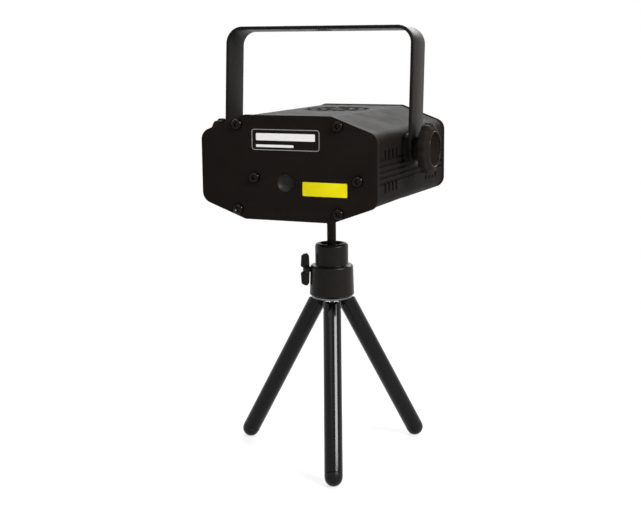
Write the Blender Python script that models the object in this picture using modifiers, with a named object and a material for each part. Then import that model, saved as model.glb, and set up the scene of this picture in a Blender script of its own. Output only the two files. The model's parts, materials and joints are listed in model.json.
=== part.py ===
"""Mini laser-light projector on a tabletop tripod, modelled piece by piece.

Sizes are in millimetres and are turned into metres where a mesh is made. +Z is up, the projector's
front faces -Y, and the origin is on the floor, on the tripod's axis.
"""

import math

import bmesh
import bpy
from mathutils import Matrix, Vector

MM = 0.001

# Facets round a turned piece, a large one, a slim one, and a hole
ROUND_STEPS = 20
LARGE_STEPS = 28
SLIM_STEPS = 16
HOLE_STEPS = 12
FLUTE_STEPS = 5

# Clearances
GAP = 0.3
RUN_GAP = 0.35

# Projector housing
BODY_W = 112.0
BODY_H = 61.4
BODY_D = 122.0
CHAMFER_X = 28.4
CHAMFER_Z = 10.4
SIDE_CORNER_R = 7.0
FLAT_CORNER_R = 4.0
PLATE_T = 3.0
SHELL_INSET = 0.7
SHELL_WALL = 2.0
GROOVE_COUNT = 5
GROOVE_PITCH = 3.3
GROOVE_W = 1.5
GROOVE_DEPTH = 0.8
GROOVE_Z = -1.2
SLOT_W = 2.4
SLOT_H = 6.0
SLOT_PITCH = 6.2
SLOT_COUNT = 4
SLOT_ROW_OFFSET = 9.6
SLOT_FRONT_START = 14.0
SLOT_REAR_START = 86.0
GRILLE_RADII = (6.5, 12.5, 18.5)
GRILLE_PITCH = 9.8
GRILLE_SLOT_W = 2.4
GRILLE_SLOT_L = 7.4

# Screws of the end plates
SCREW_HEAD_R = 3.2
SCREW_HEAD_H = 1.8
SCREW_R = 1.3
SCREW_L = 11.0
SCREW_INSET_X = 24.0
SCREW_INSET_Z = 5.7
BOSS_R = 3.3
MID_SCREW_INSET_LEFT = 35.0
MID_SCREW_INSET_RIGHT = 12.0
MID_SCREW_Z = -5.8
MID_SCREW_L = 7.0

# Light outlet and optics
APERTURE_R = 5.4
APERTURE_X = -1.0
APERTURE_Z = -8.4
WINDOW_R = 7.5
WINDOW_T = 1.4
SHEET_T = 1.5
BRACKET_EDGE = 7.5
BRACKET_RISE = 8.0
SHELF_L = 74.0
LASER_SIDE = 14.0
LASER_L = 30.0
BARREL_R = 4.0
BARREL_L = 4.0
WHEEL_R = 12.0
WHEEL_T = 1.6
WHEEL_OFFSET = 8.5
WHEEL_STANDOFF = 4.0
MOTOR_R = 6.4
MOTOR_L = 8.0
SHAFT_R = 1.0
COMBINER_SIDE = 12.0
COMBINER_T = 1.1

# Fan and circuit board
FAN_SIDE = 40.0
FAN_T = 10.0
FAN_BORE_R = 18.6
FAN_HUB_R = 8.5
FAN_BLADES = 7
FAN_Y = 15.0
FAN_CORNER_R = 3.0
STRUT_T = 1.6
STRUT_W = 2.4
BLADE_T = 1.1
BOARD_MARGIN = 2.7
BOARD_L = 38.0
BOARD_T = 1.6

# Pieces on the board: place across and along, then width, length and height
REGULATOR = (-16.0, 0.0, 10.0, 8.0, 8.0)
COIL = (6.0, -6.0, 14.0, 14.0, 6.0)
CAPACITOR = (20.0, 8.0, 7.0, 7.0, 7.0)

# Rear controls
JACK_INSET = 22.0
JACK_R = 4.6
JACK_FLANGE_R = 6.0
JACK_FLANGE_T = 1.2
JACK_PIN_INSET = 0.6
JACK_BORE_R = 3.1
JACK_PIN_R = 1.0
JACK_L = 12.0
JACK_BORE_L = 9.0
SWITCH_X = 10.0
SWITCH_TRAVEL = 2.0
SLIDER_W = 3.2
SLIDER_H = 3.4
SLIDER_PROUD = 3.0
SLIDER_TAIL = 3.0
SWITCH_L = 6.0
SPEED_X = -14.0
POT_R = 8.0
POT_L = 9.0
POT_SHAFT_R = 3.0
SPEED_KNOB_R = 7.5
SPEED_KNOB_PROUD = 9.8
SPEED_KNOB_LIFT = 1.0
SPEED_KNOB_ROOF = 3.0
SPEED_KNOB_FLUTES = 12
SPEED_FLUTE_DEPTH = 0.5
MIC_INSET = 20.0
MIC_R = 3.0
MIC_L = 5.0
MIC_HOLE_R = 1.5
CONTROL_Z = -4.0

# Yoke and its knobs
YOKE_CLEARANCE = 5.5
YOKE_T = 2.0
YOKE_W = 20.6
YOKE_CORNER_R = 10.5
YOKE_LEAN = 4.0
YOKE_RISE = 72.0
YOKE_HOLE_R = 5.2
PIVOT_Y = -10.5
PIVOT_Z = 9.0
BOLT_R = 2.3
NUT_R = 4.6
NUT_T = 3.2
WASHER_R = 8.8
KNOB_R = 15.5
KNOB_FLUTES = 14
KNOB_FLUTE_DEPTH = 1.1
KNOB_BOSS_R = 7.2
KNOB_BOSS_L = 4.6
KNOB_RIM_L = 4.8
KNOB_FACE_R = 11.2
KNOB_FACE_L = 1.8
KNOB_DISH_R = 7.7
KNOB_DISH_DEPTH = 5.2
KNOB_LIP = 0.8
KNOB_BORE_L = 4.6

# Tripod
BODY_Z = 191.0
BALL_Z = 129.8
BALL_R = 6.2
STEM_R = 2.85
STUD_R = 3.0
STUD_L = 7.5
BUSH_R = 6.0
BUSH_FLANGE_R = 7.5
BUSH_FLANGE_T = 0.9
SOCKET_TOP = 136.4
SOCKET_R = 10.5
SOCKET_LIP_H = 3.6
SOCKET_MOUTH_R = 7.6
STEP_Z = 123.6
SEAT_R = 6.9
SEAT_FLOOR_Z = 117.6
SEAT_BRIM_DROP = 1.7
HUB_R = 14.2
HUB_TOP_R = 13.6
HUB_EDGE_R = 1.6
HUB_Z = 104.0
LOCK_Z = 120.4
LOCK_SHAFT_R = 1.8
LOCK_HEADING = 203.5
WING_HUB_R = 3.2
WING_HUB_L = 3.0
WING_T = 3.2
WING_HALF = 10.0
WING_STANDOFF = 0.5
WING_L = 5.2
WING_NOTCH = 1.5
LOCK_TIP_L = 4.2
RING_T = 1.5
RING_R = 12.4
RING_BORE_R = 3.0
LUG_T = 2.6
LUG_R = 3.2
LUG_SHOULDER = 0.6
LEG_COUNT = 3
LEG_HEADING = -66.8
LEG_R = 5.6
LEG_WALL = 0.7
PIN_RADIUS = 12.5
PIN_R = 1.2
PIN_L = 10.2
CAP_L = 6.4
SPIGOT_L = 6.0
FOOT_R = 5.5
FOOT_L = 2.4
FOOT_CIRCLE_R = 64.0
FOOT_FLAT = 0.3

# Places worked out from the sizes above
SHELL_W = BODY_W - 2 * SHELL_INSET
SHELL_H = BODY_H - 2 * SHELL_INSET
SHELL_D = BODY_D - 2 * (PLATE_T + GAP)
INNER_H = SHELL_H - 2 * SHELL_WALL
SCREW_X = BODY_W / 2 - SCREW_INSET_X
SCREW_Z = BODY_H / 2 - SCREW_INSET_Z
MID_SCREW_SPAN = BODY_W - MID_SCREW_INSET_LEFT - MID_SCREW_INSET_RIGHT
MID_SCREW_X = (MID_SCREW_INSET_LEFT - MID_SCREW_INSET_RIGHT) / 2
BRACKET_W = MID_SCREW_SPAN + 2 * BRACKET_EDGE
BOARD_W = 2 * (SCREW_X - BOSS_R - BOARD_MARGIN)
JACK_X = BODY_W / 2 - JACK_INSET
MIC_X = MIC_INSET - BODY_W / 2
BODY_Y = (SCREW_HEAD_H + GAP - SPEED_KNOB_PROUD) / 2
FRONT_Y = -BODY_D / 2
REAR_Y = BODY_D / 2
TRIPOD_Y = -BODY_Y
FLANGE_Y = FRONT_Y + PLATE_T + WINDOW_T + 2 * GAP
SHELF_Z = APERTURE_Z - LASER_SIDE / 2 - GAP
WHEEL_Y = FLANGE_Y + SHEET_T + WHEEL_STANDOFF
MOTOR_Y = WHEEL_Y + WHEEL_T + 1.4
COMBINER_Y = MOTOR_Y + MOTOR_L + LASER_SIDE / 2 + 2.0
SHELL_BOTTOM = -SHELL_H / 2
PIN_Z = HUB_Z - GAP - RING_T - GAP - LEG_R
FOOT_Z = FOOT_R - FOOT_FLAT
LEG_REACH = FOOT_CIRCLE_R - PIN_RADIUS
LEG_DROP = PIN_Z - FOOT_Z
LEG_L = math.hypot(LEG_REACH, LEG_DROP)
LEG_SPLAY = math.degrees(math.atan2(LEG_REACH, LEG_DROP))
YOKE_SPAN = BODY_W + 2 * YOKE_CLEARANCE
ARM_OUTER_X = YOKE_SPAN / 2
ARM_INNER_X = ARM_OUTER_X - YOKE_T
WING_START = HUB_R + WING_STANDOFF

# Colour, roughness and metallic value of each finish
FINISHES = {
    "black_painted_metal": ((0.035, 0.034, 0.037), 0.42, 0.3),
    "front_panel_black": ((0.012, 0.012, 0.013), 0.38, 0.2),
    "black_plastic": ((0.02, 0.02, 0.021), 0.45, 0.0),
    "gloss_black": ((0.015, 0.015, 0.016), 0.18, 0.1),
    "rubber": ((0.02, 0.02, 0.02), 0.8, 0.0),
    "dark_steel": ((0.2, 0.2, 0.21), 0.3, 1.0),
    "chrome": ((0.75, 0.75, 0.77), 0.12, 1.0),
    "aluminium": ((0.62, 0.63, 0.65), 0.35, 1.0),
    "glass": ((0.75, 0.85, 0.9), 0.05, 0.0),
    "circuit_green": ((0.04, 0.2, 0.09), 0.5, 0.0),
}


def collection(name):
    group = bpy.data.collections.new(name)
    bpy.context.scene.collection.children.link(group)
    return group


def clear_scene():
    for old in list(bpy.data.objects):
        bpy.data.objects.remove(old, do_unlink=True)


def finish(name):
    """The Principled material of a finish, made once."""
    if name in bpy.data.materials:
        return bpy.data.materials[name]
    colour, roughness, metallic = FINISHES[name]
    material = bpy.data.materials.new(name)
    material.use_nodes = True
    shader = material.node_tree.nodes["Principled BSDF"]
    shader.inputs["Base Color"].default_value = (*colour, 1.0)
    shader.inputs["Roughness"].default_value = roughness
    shader.inputs["Metallic"].default_value = metallic
    return material


def arc(centre, radius, start, end, steps):
    """Points of an arc, angles in degrees, both ends included."""
    turns = [math.radians(start + (end - start) * i / steps) for i in range(steps + 1)]
    return [(centre[0] + radius * math.cos(t), centre[1] + radius * math.sin(t)) for t in turns]


def circle(centre, radius, steps=HOLE_STEPS):
    return arc(centre, radius, 0.0, 360.0, steps)[:-1]


def rounded(corners, steps=4):
    """Closed outline from (x, y, radius) corners, each round one replaced by its arc."""
    points = []
    for i, (x, y, radius) in enumerate(corners):
        corner = Vector((x, y))
        if radius == 0.0:
            points.append((x, y))
            continue
        before = (Vector(corners[i - 1][:2]) - corner).normalized()
        after = (Vector(corners[(i + 1) % len(corners)][:2]) - corner).normalized()
        half = before.angle(after) / 2
        centre = corner + (before + after).normalized() * radius / math.sin(half)
        start = corner + before * radius / math.tan(half) - centre
        end = corner + after * radius / math.tan(half) - centre
        sweep = start.angle_signed(end)
        points += [tuple(centre + Matrix.Rotation(-sweep * k / steps, 2) @ start) for k in range(steps + 1)]
    return points


def octagon(width, height, inset):
    """Corners of the housing's section, moved in by inset, from the upper right going clockwise."""
    half_w = width / 2 - inset
    half_h = height / 2 - inset
    slope = math.hypot(CHAMFER_X, CHAMFER_Z)
    flat_x = width / 2 - CHAMFER_X - inset * (slope - CHAMFER_X) / CHAMFER_Z
    side_z = height / 2 - CHAMFER_Z - inset * (slope - CHAMFER_Z) / CHAMFER_X
    quarter = [(flat_x, half_h), (half_w, side_z)]
    right = quarter + [(x, -y) for x, y in reversed(quarter)]
    return right + [(-x, y) for x, y in reversed(right)]


def with_radii(corners):
    """The section's corners with a large radius at the sides and a small one at the flats."""
    side = max(abs(x) for x, _ in corners) - 0.01
    return [(x, y, SIDE_CORNER_R if abs(x) > side else FLAT_CORNER_R) for x, y in corners]


def join(piece, group, material, parent):
    """Puts a finished object in its collection, under its parent and with its finish."""
    group.objects.link(piece)
    piece.parent = parent
    piece.data.materials.append(finish(material))
    return piece


def place(piece, location, rotation=(0.0, 0.0, 0.0)):
    piece.location = [v * MM for v in location]
    piece.rotation_euler = [math.radians(v) for v in rotation]
    return piece


def pivot(name, location, rotation=(0.0, 0.0, 0.0), parent=None):
    """An empty that carries the pieces which move together."""
    empty = bpy.data.objects.new(name, None)
    bpy.context.scene.collection.objects.link(empty)
    empty.parent = parent
    return place(empty, location, rotation)


def smooth(mesh):
    mesh.shade_smooth()
    mesh.set_sharp_from_angle(angle=math.radians(35))


def slab_mesh(name, outlines, thickness):
    """Flat outlines in the XY plane, the later ones as holes, drawn out along Z about the plane."""
    curve = bpy.data.curves.new(name, "CURVE")
    curve.dimensions = "2D"
    curve.fill_mode = "BOTH"
    curve.extrude = thickness * MM / 2
    for outline in outlines:
        spline = curve.splines.new("POLY")
        spline.points.add(len(outline) - 1)
        for point, (x, y) in zip(spline.points, outline):
            point.co = (x * MM, y * MM, 0.0, 1.0)
        spline.use_cyclic_u = True
    drawn = bpy.data.objects.new(name, curve)
    bpy.context.scene.collection.objects.link(drawn)
    graph = bpy.context.evaluated_depsgraph_get()
    mesh = bpy.data.meshes.new_from_object(drawn.evaluated_get(graph))
    bpy.data.objects.remove(drawn)
    bm = bmesh.new()
    bm.from_mesh(mesh)
    bmesh.ops.remove_doubles(bm, verts=bm.verts, dist=1e-6)
    bmesh.ops.recalc_face_normals(bm, faces=bm.faces)
    bm.to_mesh(mesh)
    bm.free()
    mesh.name = name
    smooth(mesh)
    return mesh


def slab(name, outlines, thickness, material, parent):
    return join(bpy.data.objects.new(name, slab_mesh(name, outlines, thickness)), PARTS, material, parent)


def turned_mesh(name, profile, closed):
    """A profile of (radius, height) points that runs down its outer side."""
    mesh = bpy.data.meshes.new(name)
    edges = [(i, i + 1) for i in range(len(profile) - 1)]
    if closed:
        edges.append((len(profile) - 1, 0))
    mesh.from_pydata([(r * MM, 0.0, z * MM) for r, z in profile], edges, [])
    return mesh


def turned(name, profile, material, parent, closed=False, steps=ROUND_STEPS):
    """A solid of revolution about Z; a closed profile stands clear of the axis and makes a ring."""
    piece = bpy.data.objects.new(name, turned_mesh(name, profile, closed))
    screw = piece.modifiers.new("turn", "SCREW")
    screw.axis = "Z"
    screw.steps = steps
    screw.render_steps = steps
    screw.use_merge_vertices = True
    screw.merge_threshold = 1e-5
    screw.use_smooth_shade = True
    return join(piece, PARTS, material, parent)


def boxes(*items):
    """A mesh of boxes, each (centre, size) or (centre, size, turn about Z in degrees)."""
    bm = bmesh.new()
    for item in items:
        turn = math.radians(item[2]) if len(item) > 2 else 0.0
        spot = Matrix.Translation(Vector(item[0]) * MM) @ Matrix.Rotation(turn, 4, "Z")
        bmesh.ops.create_cube(bm, size=1.0, matrix=spot @ Matrix.Diagonal((*(v * MM for v in item[1]), 1.0)))
    mesh = bpy.data.meshes.new("boxes")
    bm.to_mesh(mesh)
    bm.free()
    return mesh


def rods(*items, segments=HOLE_STEPS):
    """A mesh of round rods, each (start, end, radius)."""
    bm = bmesh.new()
    for start, end, radius in items:
        along = Vector(end) - Vector(start)
        spot = Matrix.Translation((Vector(start) + along / 2) * MM)
        turn = along.to_track_quat("Z", "Y").to_matrix().to_4x4()
        bmesh.ops.create_cone(
            bm, cap_ends=True, segments=segments, radius1=radius * MM, radius2=radius * MM,
            depth=along.length * MM, matrix=spot @ turn,
        )
    mesh = bpy.data.meshes.new("rods")
    bm.to_mesh(mesh)
    bm.free()
    return mesh


def solid(name, mesh, material, parent):
    mesh.name = name
    smooth(mesh)
    return join(bpy.data.objects.new(name, mesh), PARTS, material, parent)


def combine(piece, mesh, operation="DIFFERENCE", location=(0.0, 0.0, 0.0), rotation=(0.0, 0.0, 0.0)):
    """A Boolean on a piece with a hidden tool, placed in the frame of the piece's parent."""
    tool = bpy.data.objects.new(piece.name + "_tool", mesh)
    TOOLS.objects.link(tool)
    tool.parent = piece.parent
    place(tool, location, rotation)
    tool.hide_render = True
    tool.display_type = "WIRE"
    step = piece.modifiers.new(operation.lower(), "BOOLEAN")
    step.operation = operation
    step.object = tool
    step.solver = "EXACT"
    return piece


def turned_tool(profile, steps=ROUND_STEPS):
    """A turned profile as a plain mesh, for use as a tool."""
    bm = bmesh.new()
    bm.from_mesh(turned_mesh("profile", profile, False))
    bmesh.ops.spin(
        bm, geom=bm.verts[:] + bm.edges[:], cent=(0, 0, 0), axis=(0, 0, 1),
        angle=math.tau, steps=steps, use_merge=True,
    )
    bmesh.ops.remove_doubles(bm, verts=bm.verts, dist=1e-6)
    bmesh.ops.recalc_face_normals(bm, faces=bm.faces)
    mesh = bpy.data.meshes.new("turned_tool")
    bm.to_mesh(mesh)
    bm.free()
    return mesh


def shell_outline():
    """The extrusion's outer section: a round-cornered octagon with grooves along both sides."""
    corners = with_radii(octagon(BODY_W, BODY_H, SHELL_INSET))
    face_x = SHELL_W / 2
    top = GROOVE_Z + GROOVE_PITCH * (GROOVE_COUNT - 1) / 2
    grooves = []
    for i in range(GROOVE_COUNT):
        z = top - i * GROOVE_PITCH
        grooves += [
            (face_x, z + GROOVE_W / 2, 0.0),
            (face_x - GROOVE_DEPTH, z + GROOVE_W / 4, 0.0),
            (face_x - GROOVE_DEPTH, z - GROOVE_W / 4, 0.0),
            (face_x, z - GROOVE_W / 2, 0.0),
        ]
    other_side = [(-x, z, r) for x, z, r in reversed(grooves)]
    return rounded(corners[:2] + grooves + corners[2:6] + other_side + corners[6:])


def cavity_outline():
    """The extrusion's inner section, with a screw boss in each slanted corner."""
    corners = octagon(BODY_W, BODY_H, SHELL_INSET + SHELL_WALL)
    (flat_x, flat_z), (side_x, side_z) = corners[:2]
    slope = (flat_z - side_z) / (side_x - flat_x)
    foot_x = SCREW_X + BOSS_R * 1.4
    boss = arc((SCREW_X, SCREW_Z), BOSS_R, 180, 340, 8)
    quarter = [(flat_x, flat_z), *boss, (foot_x, flat_z - slope * (foot_x - flat_x)), (side_x, side_z)]
    right = quarter + [(x, -z) for x, z in reversed(quarter)]
    return right + [(-x, z) for x, z in reversed(right)]


def screw_spots():
    return [(x, z) for z in (SCREW_Z, -SCREW_Z) for x in (-SCREW_X, SCREW_X)]


def mid_screw_spots():
    return [(MID_SCREW_X + side * MID_SCREW_SPAN / 2, MID_SCREW_Z) for side in (-1, 1)]


def make_housing(body):
    """Extruded shell with screw channels, side grooves and cooling slots."""
    holes = [circle(spot, SCREW_R + GAP) for spot in screw_spots()]
    section = [shell_outline(), cavity_outline(), *holes]
    shell = slab("housing", section, SHELL_D, "black_painted_metal", body)
    place(shell, (0, 0, 0), (90, 0, 0))
    starts = (FRONT_Y + SLOT_FRONT_START, FRONT_Y + SLOT_REAR_START)
    slots = [
        ((0, start + i * SLOT_PITCH, GROOVE_Z + row * SLOT_ROW_OFFSET), (BODY_W + 10, SLOT_W, SLOT_H))
        for start in starts for i in range(SLOT_COUNT) for row in (-1, 1)
    ]
    combine(shell, boxes(*slots))
    grille = []
    for radius in GRILLE_RADII:
        count = int(math.tau * radius / GRILLE_PITCH)
        for i in range(count):
            turn = 360.0 * i / count
            x = radius * math.cos(math.radians(turn))
            y = FAN_Y + radius * math.sin(math.radians(turn))
            grille.append(((x, y, BODY_H / 2), (GRILLE_SLOT_W, GRILLE_SLOT_L, SHELL_WALL * 4), turn))
    combine(shell, boxes(*grille))
    reach = BODY_W / 2 + 5
    bolt_hole = ((-reach, PIVOT_Y, PIVOT_Z), (reach, PIVOT_Y, PIVOT_Z), BOLT_R + GAP)
    foot_hole = ((0, TRIPOD_Y, -BODY_H), (0, TRIPOD_Y, -BODY_H / 4), BUSH_R + GAP)
    combine(shell, rods(bolt_hole, foot_hole))


def make_end_plates(body):
    outline = rounded(with_radii(octagon(BODY_W, BODY_H, 0.0)))
    corner_holes = [circle(spot, SCREW_R + GAP) for spot in screw_spots()]
    mid_holes = [circle(spot, SCREW_R + GAP) for spot in mid_screw_spots()]
    aperture = circle((APERTURE_X, APERTURE_Z), APERTURE_R, LARGE_STEPS)
    cuts = [aperture, *corner_holes, *mid_holes]
    front = slab("front_plate", [outline, *cuts], PLATE_T, "front_panel_black", body)
    place(front, (0, FRONT_Y + PLATE_T / 2, 0), (90, 0, 0))
    half_slot = SLIDER_W / 2 + SWITCH_TRAVEL + GAP
    slot_h = SLIDER_H / 2 + GAP
    corners = ((1, 1), (1, -1), (-1, -1), (-1, 1))
    slot = [(SWITCH_X + sx * half_slot, CONTROL_Z + sz * slot_h) for sx, sz in corners]
    openings = [
        circle((JACK_X, CONTROL_Z), JACK_R + GAP, SLIM_STEPS),
        circle((SPEED_X, CONTROL_Z), POT_SHAFT_R + GAP, SLIM_STEPS),
        circle((MIC_X, CONTROL_Z), MIC_HOLE_R),
        slot,
    ]
    rear = slab("rear_plate", [outline, *corner_holes, *openings], PLATE_T, "front_panel_black", body)
    place(rear, (0, REAR_Y - PLATE_T / 2, 0), (90, 0, 0))


def make_screw(name, x, z, facing, length, body):
    """A pan-head screw; facing is -1 at the front plate and 1 at the rear plate."""
    profile = [
        (0.0, GAP + SCREW_HEAD_H),
        (SCREW_HEAD_R * 0.55, GAP + SCREW_HEAD_H),
        (SCREW_HEAD_R * 0.88, GAP + SCREW_HEAD_H * 0.75),
        (SCREW_HEAD_R, GAP),
        (SCREW_R, GAP),
        (SCREW_R, -length),
        (0.0, -length),
    ]
    screw = turned(name, profile, "dark_steel", body, steps=HOLE_STEPS)
    place(screw, (x, facing * BODY_D / 2, z), (-90 * facing, 0, 0))


def make_screws(body):
    names = ("upper_left", "upper_right", "lower_left", "lower_right")
    for (x, z), name in zip(screw_spots(), names):
        make_screw("front_screw_" + name, x, z, -1, SCREW_L, body)
        make_screw("rear_screw_" + name, x, z, 1, SCREW_L, body)
    for (x, z), name in zip(mid_screw_spots(), ("mid_left", "mid_right")):
        make_screw("front_screw_" + name, x, z, -1, MID_SCREW_L, body)


def make_optics(body):
    """Window, sheet bracket, two laser modules, combiner plate, motor and grating wheel."""
    window = solid(
        "aperture_window", rods(((0, 0, 0), (0, WINDOW_T, 0), WINDOW_R), segments=ROUND_STEPS),
        "glass", body,
    )
    place(window, (APERTURE_X, FRONT_Y + PLATE_T + GAP, APERTURE_Z))
    shelf_under = SHELF_Z - SHEET_T
    section = [
        (0, BRACKET_RISE), (SHEET_T, BRACKET_RISE), (SHEET_T, SHELF_Z), (SHELF_L, SHELF_Z),
        (SHELF_L, shelf_under), (0, shelf_under),
    ]
    bracket = slab("optics_bracket", [section], BRACKET_W, "aluminium", body)
    place(bracket, (MID_SCREW_X, FLANGE_Y, 0), (90, 0, 90))
    bores = [((x, FLANGE_Y - 5, z), (x, FLANGE_Y + 5, z), SCREW_R + GAP) for x, z in mid_screw_spots()]
    bores.append((
        (APERTURE_X, FLANGE_Y - 5, APERTURE_Z), (APERTURE_X, FLANGE_Y + 5, APERTURE_Z), APERTURE_R,
    ))
    combine(bracket, rods(*bores))
    wheel_x = APERTURE_X + WHEEL_OFFSET
    wheel_room = 2 * (WHEEL_R + 1.0)
    wheel_spot = (wheel_x, WHEEL_Y + WHEEL_T / 2, SHELF_Z)
    combine(bracket, boxes((wheel_spot, (wheel_room, WHEEL_T + 3.0, SHEET_T * 4))))
    make_laser("green_laser", (APERTURE_X, COMBINER_Y + LASER_SIDE / 2 + BARREL_L + 1.0), 0.0, body)
    make_laser("red_laser", (APERTURE_X + LASER_SIDE / 2 + BARREL_L + 1.0, COMBINER_Y), -90.0, body)
    combiner = solid(
        "beam_combiner",
        boxes(((0, 0, 0), (COMBINER_SIDE, COMBINER_T, COMBINER_SIDE), -45.0)), "glass", body,
    )
    place(combiner, (APERTURE_X, COMBINER_Y, SHELF_Z + GAP + COMBINER_SIDE / 2))
    motor = solid(
        "grating_motor",
        rods(((0, 0, 0), (0, MOTOR_L, 0), MOTOR_R), segments=ROUND_STEPS), "dark_steel", body,
    )
    place(motor, (wheel_x, MOTOR_Y, APERTURE_Z))
    foot_h = APERTURE_Z - SHELF_Z - GAP
    foot = boxes(((0, MOTOR_L / 2, -foot_h / 2), (MOTOR_R * 1.6, MOTOR_L - 1.0, foot_h)))
    combine(motor, foot, "UNION", motor.location / MM)
    shaft = rods(((0, 1.0, 0), (0, WHEEL_Y - MOTOR_Y + GAP, 0), SHAFT_R))
    combine(motor, shaft, "UNION", motor.location / MM)


def make_laser(name, spot, turn, body):
    """A laser diode in its square heat-sink block, with a round lens barrel at the front."""
    module = solid(name, boxes(((0, LASER_L / 2, 0), (LASER_SIDE, LASER_L, LASER_SIDE))), "aluminium", body)
    place(module, (spot[0], spot[1], APERTURE_Z), (0, 0, turn))
    barrel = rods(((0, -BARREL_L, 0), (0, 1.0, 0), BARREL_R), segments=SLIM_STEPS)
    combine(module, barrel, "UNION", module.location / MM, (0, 0, turn))


def make_grating_wheel(body):
    """Diffraction disc on the motor's shaft; the beam passes through it beside the hub."""
    axis = pivot("grating_axis", (APERTURE_X + WHEEL_OFFSET, WHEEL_Y, APERTURE_Z), (-90, 0, 0), body)
    bore = SHAFT_R + RUN_GAP
    profile = [(WHEEL_R, WHEEL_T), (WHEEL_R, 0), (bore, 0), (bore, WHEEL_T)]
    turned("grating_wheel", profile, "glass", axis, closed=True)


def make_fan(body):
    """Square axial fan under the top slots, with a bladed rotor."""
    half = FAN_SIDE / 2
    frame_z = INNER_H / 2 - GAP - FAN_T / 2
    corners = ((1, 1), (1, -1), (-1, -1), (-1, 1))
    outline = rounded([(sx * half, sy * half, FAN_CORNER_R) for sx, sy in corners], 3)
    bore = circle((0, 0), FAN_BORE_R, LARGE_STEPS)
    frame = slab("fan_frame", [outline, bore], FAN_T, "black_plastic", body)
    place(frame, (0, FAN_Y, frame_z))
    low = -FAN_T / 2
    strut_z = low + STRUT_T / 2
    strut_l = FAN_SIDE - 2.0
    spider = rods(((0, 0, low), (0, 0, low + STRUT_T), FAN_HUB_R), segments=ROUND_STEPS)
    combine(frame, spider, "UNION", frame.location / MM)
    struts = boxes(
        ((0, 0, strut_z), (strut_l, STRUT_W, STRUT_T - 0.2), 45.0),
        ((0, 0, strut_z + 0.05), (STRUT_W, strut_l, STRUT_T - 0.4), 45.0),
    )
    combine(frame, struts, "UNION", frame.location / MM)
    axis = pivot("fan_axis", (0, FAN_Y, frame_z), parent=body)
    hub_low = low + STRUT_T + RUN_GAP
    hub_high = FAN_T / 2 - 1.0
    hub = rods(((0, 0, hub_low), (0, 0, hub_high), FAN_HUB_R), segments=ROUND_STEPS)
    rotor = solid("fan_rotor", hub, "black_plastic", axis)
    blade_l = FAN_BORE_R - FAN_HUB_R
    blade = slab_mesh("blade", [blade_section(hub_high - hub_low - 1.0)], blade_l)
    for i in range(FAN_BLADES):
        turn = 360.0 * i / FAN_BLADES
        reach = FAN_HUB_R + blade_l / 2 - 1.0
        x = reach * math.cos(math.radians(turn))
        y = reach * math.sin(math.radians(turn))
        combine(rotor, blade, "UNION", (x, y, (hub_low + hub_high) / 2), (90, 0, turn + 90))


def blade_section(height):
    """A fan blade's pitched and cambered section."""
    half = height / 2
    camber = [(-half * 0.9, -half), (-half * 0.1, -half * 0.2), (half * 0.9, half)]
    front = [(x + BLADE_T / 2, z) for x, z in camber]
    return front + [(x - BLADE_T / 2, z) for x, z in reversed(camber)]


def make_board(body):
    """Driver board on the housing's floor, between the lower screw bosses and behind the tripod bush."""
    z = -INNER_H / 2 + GAP
    y = REAR_Y - PLATE_T - 2 * GAP - BOARD_L / 2
    board = solid("driver_board", boxes(((0, 0, 0), (BOARD_W, BOARD_L, BOARD_T))), "circuit_green", body)
    place(board, (0, y, z + BOARD_T / 2))
    fitted = [((x, y, high / 2), (wide, long, high)) for x, y, wide, long, high in (REGULATOR, COIL, CAPACITOR)]
    combine(board, boxes(*fitted), "UNION", board.location / MM)


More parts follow.
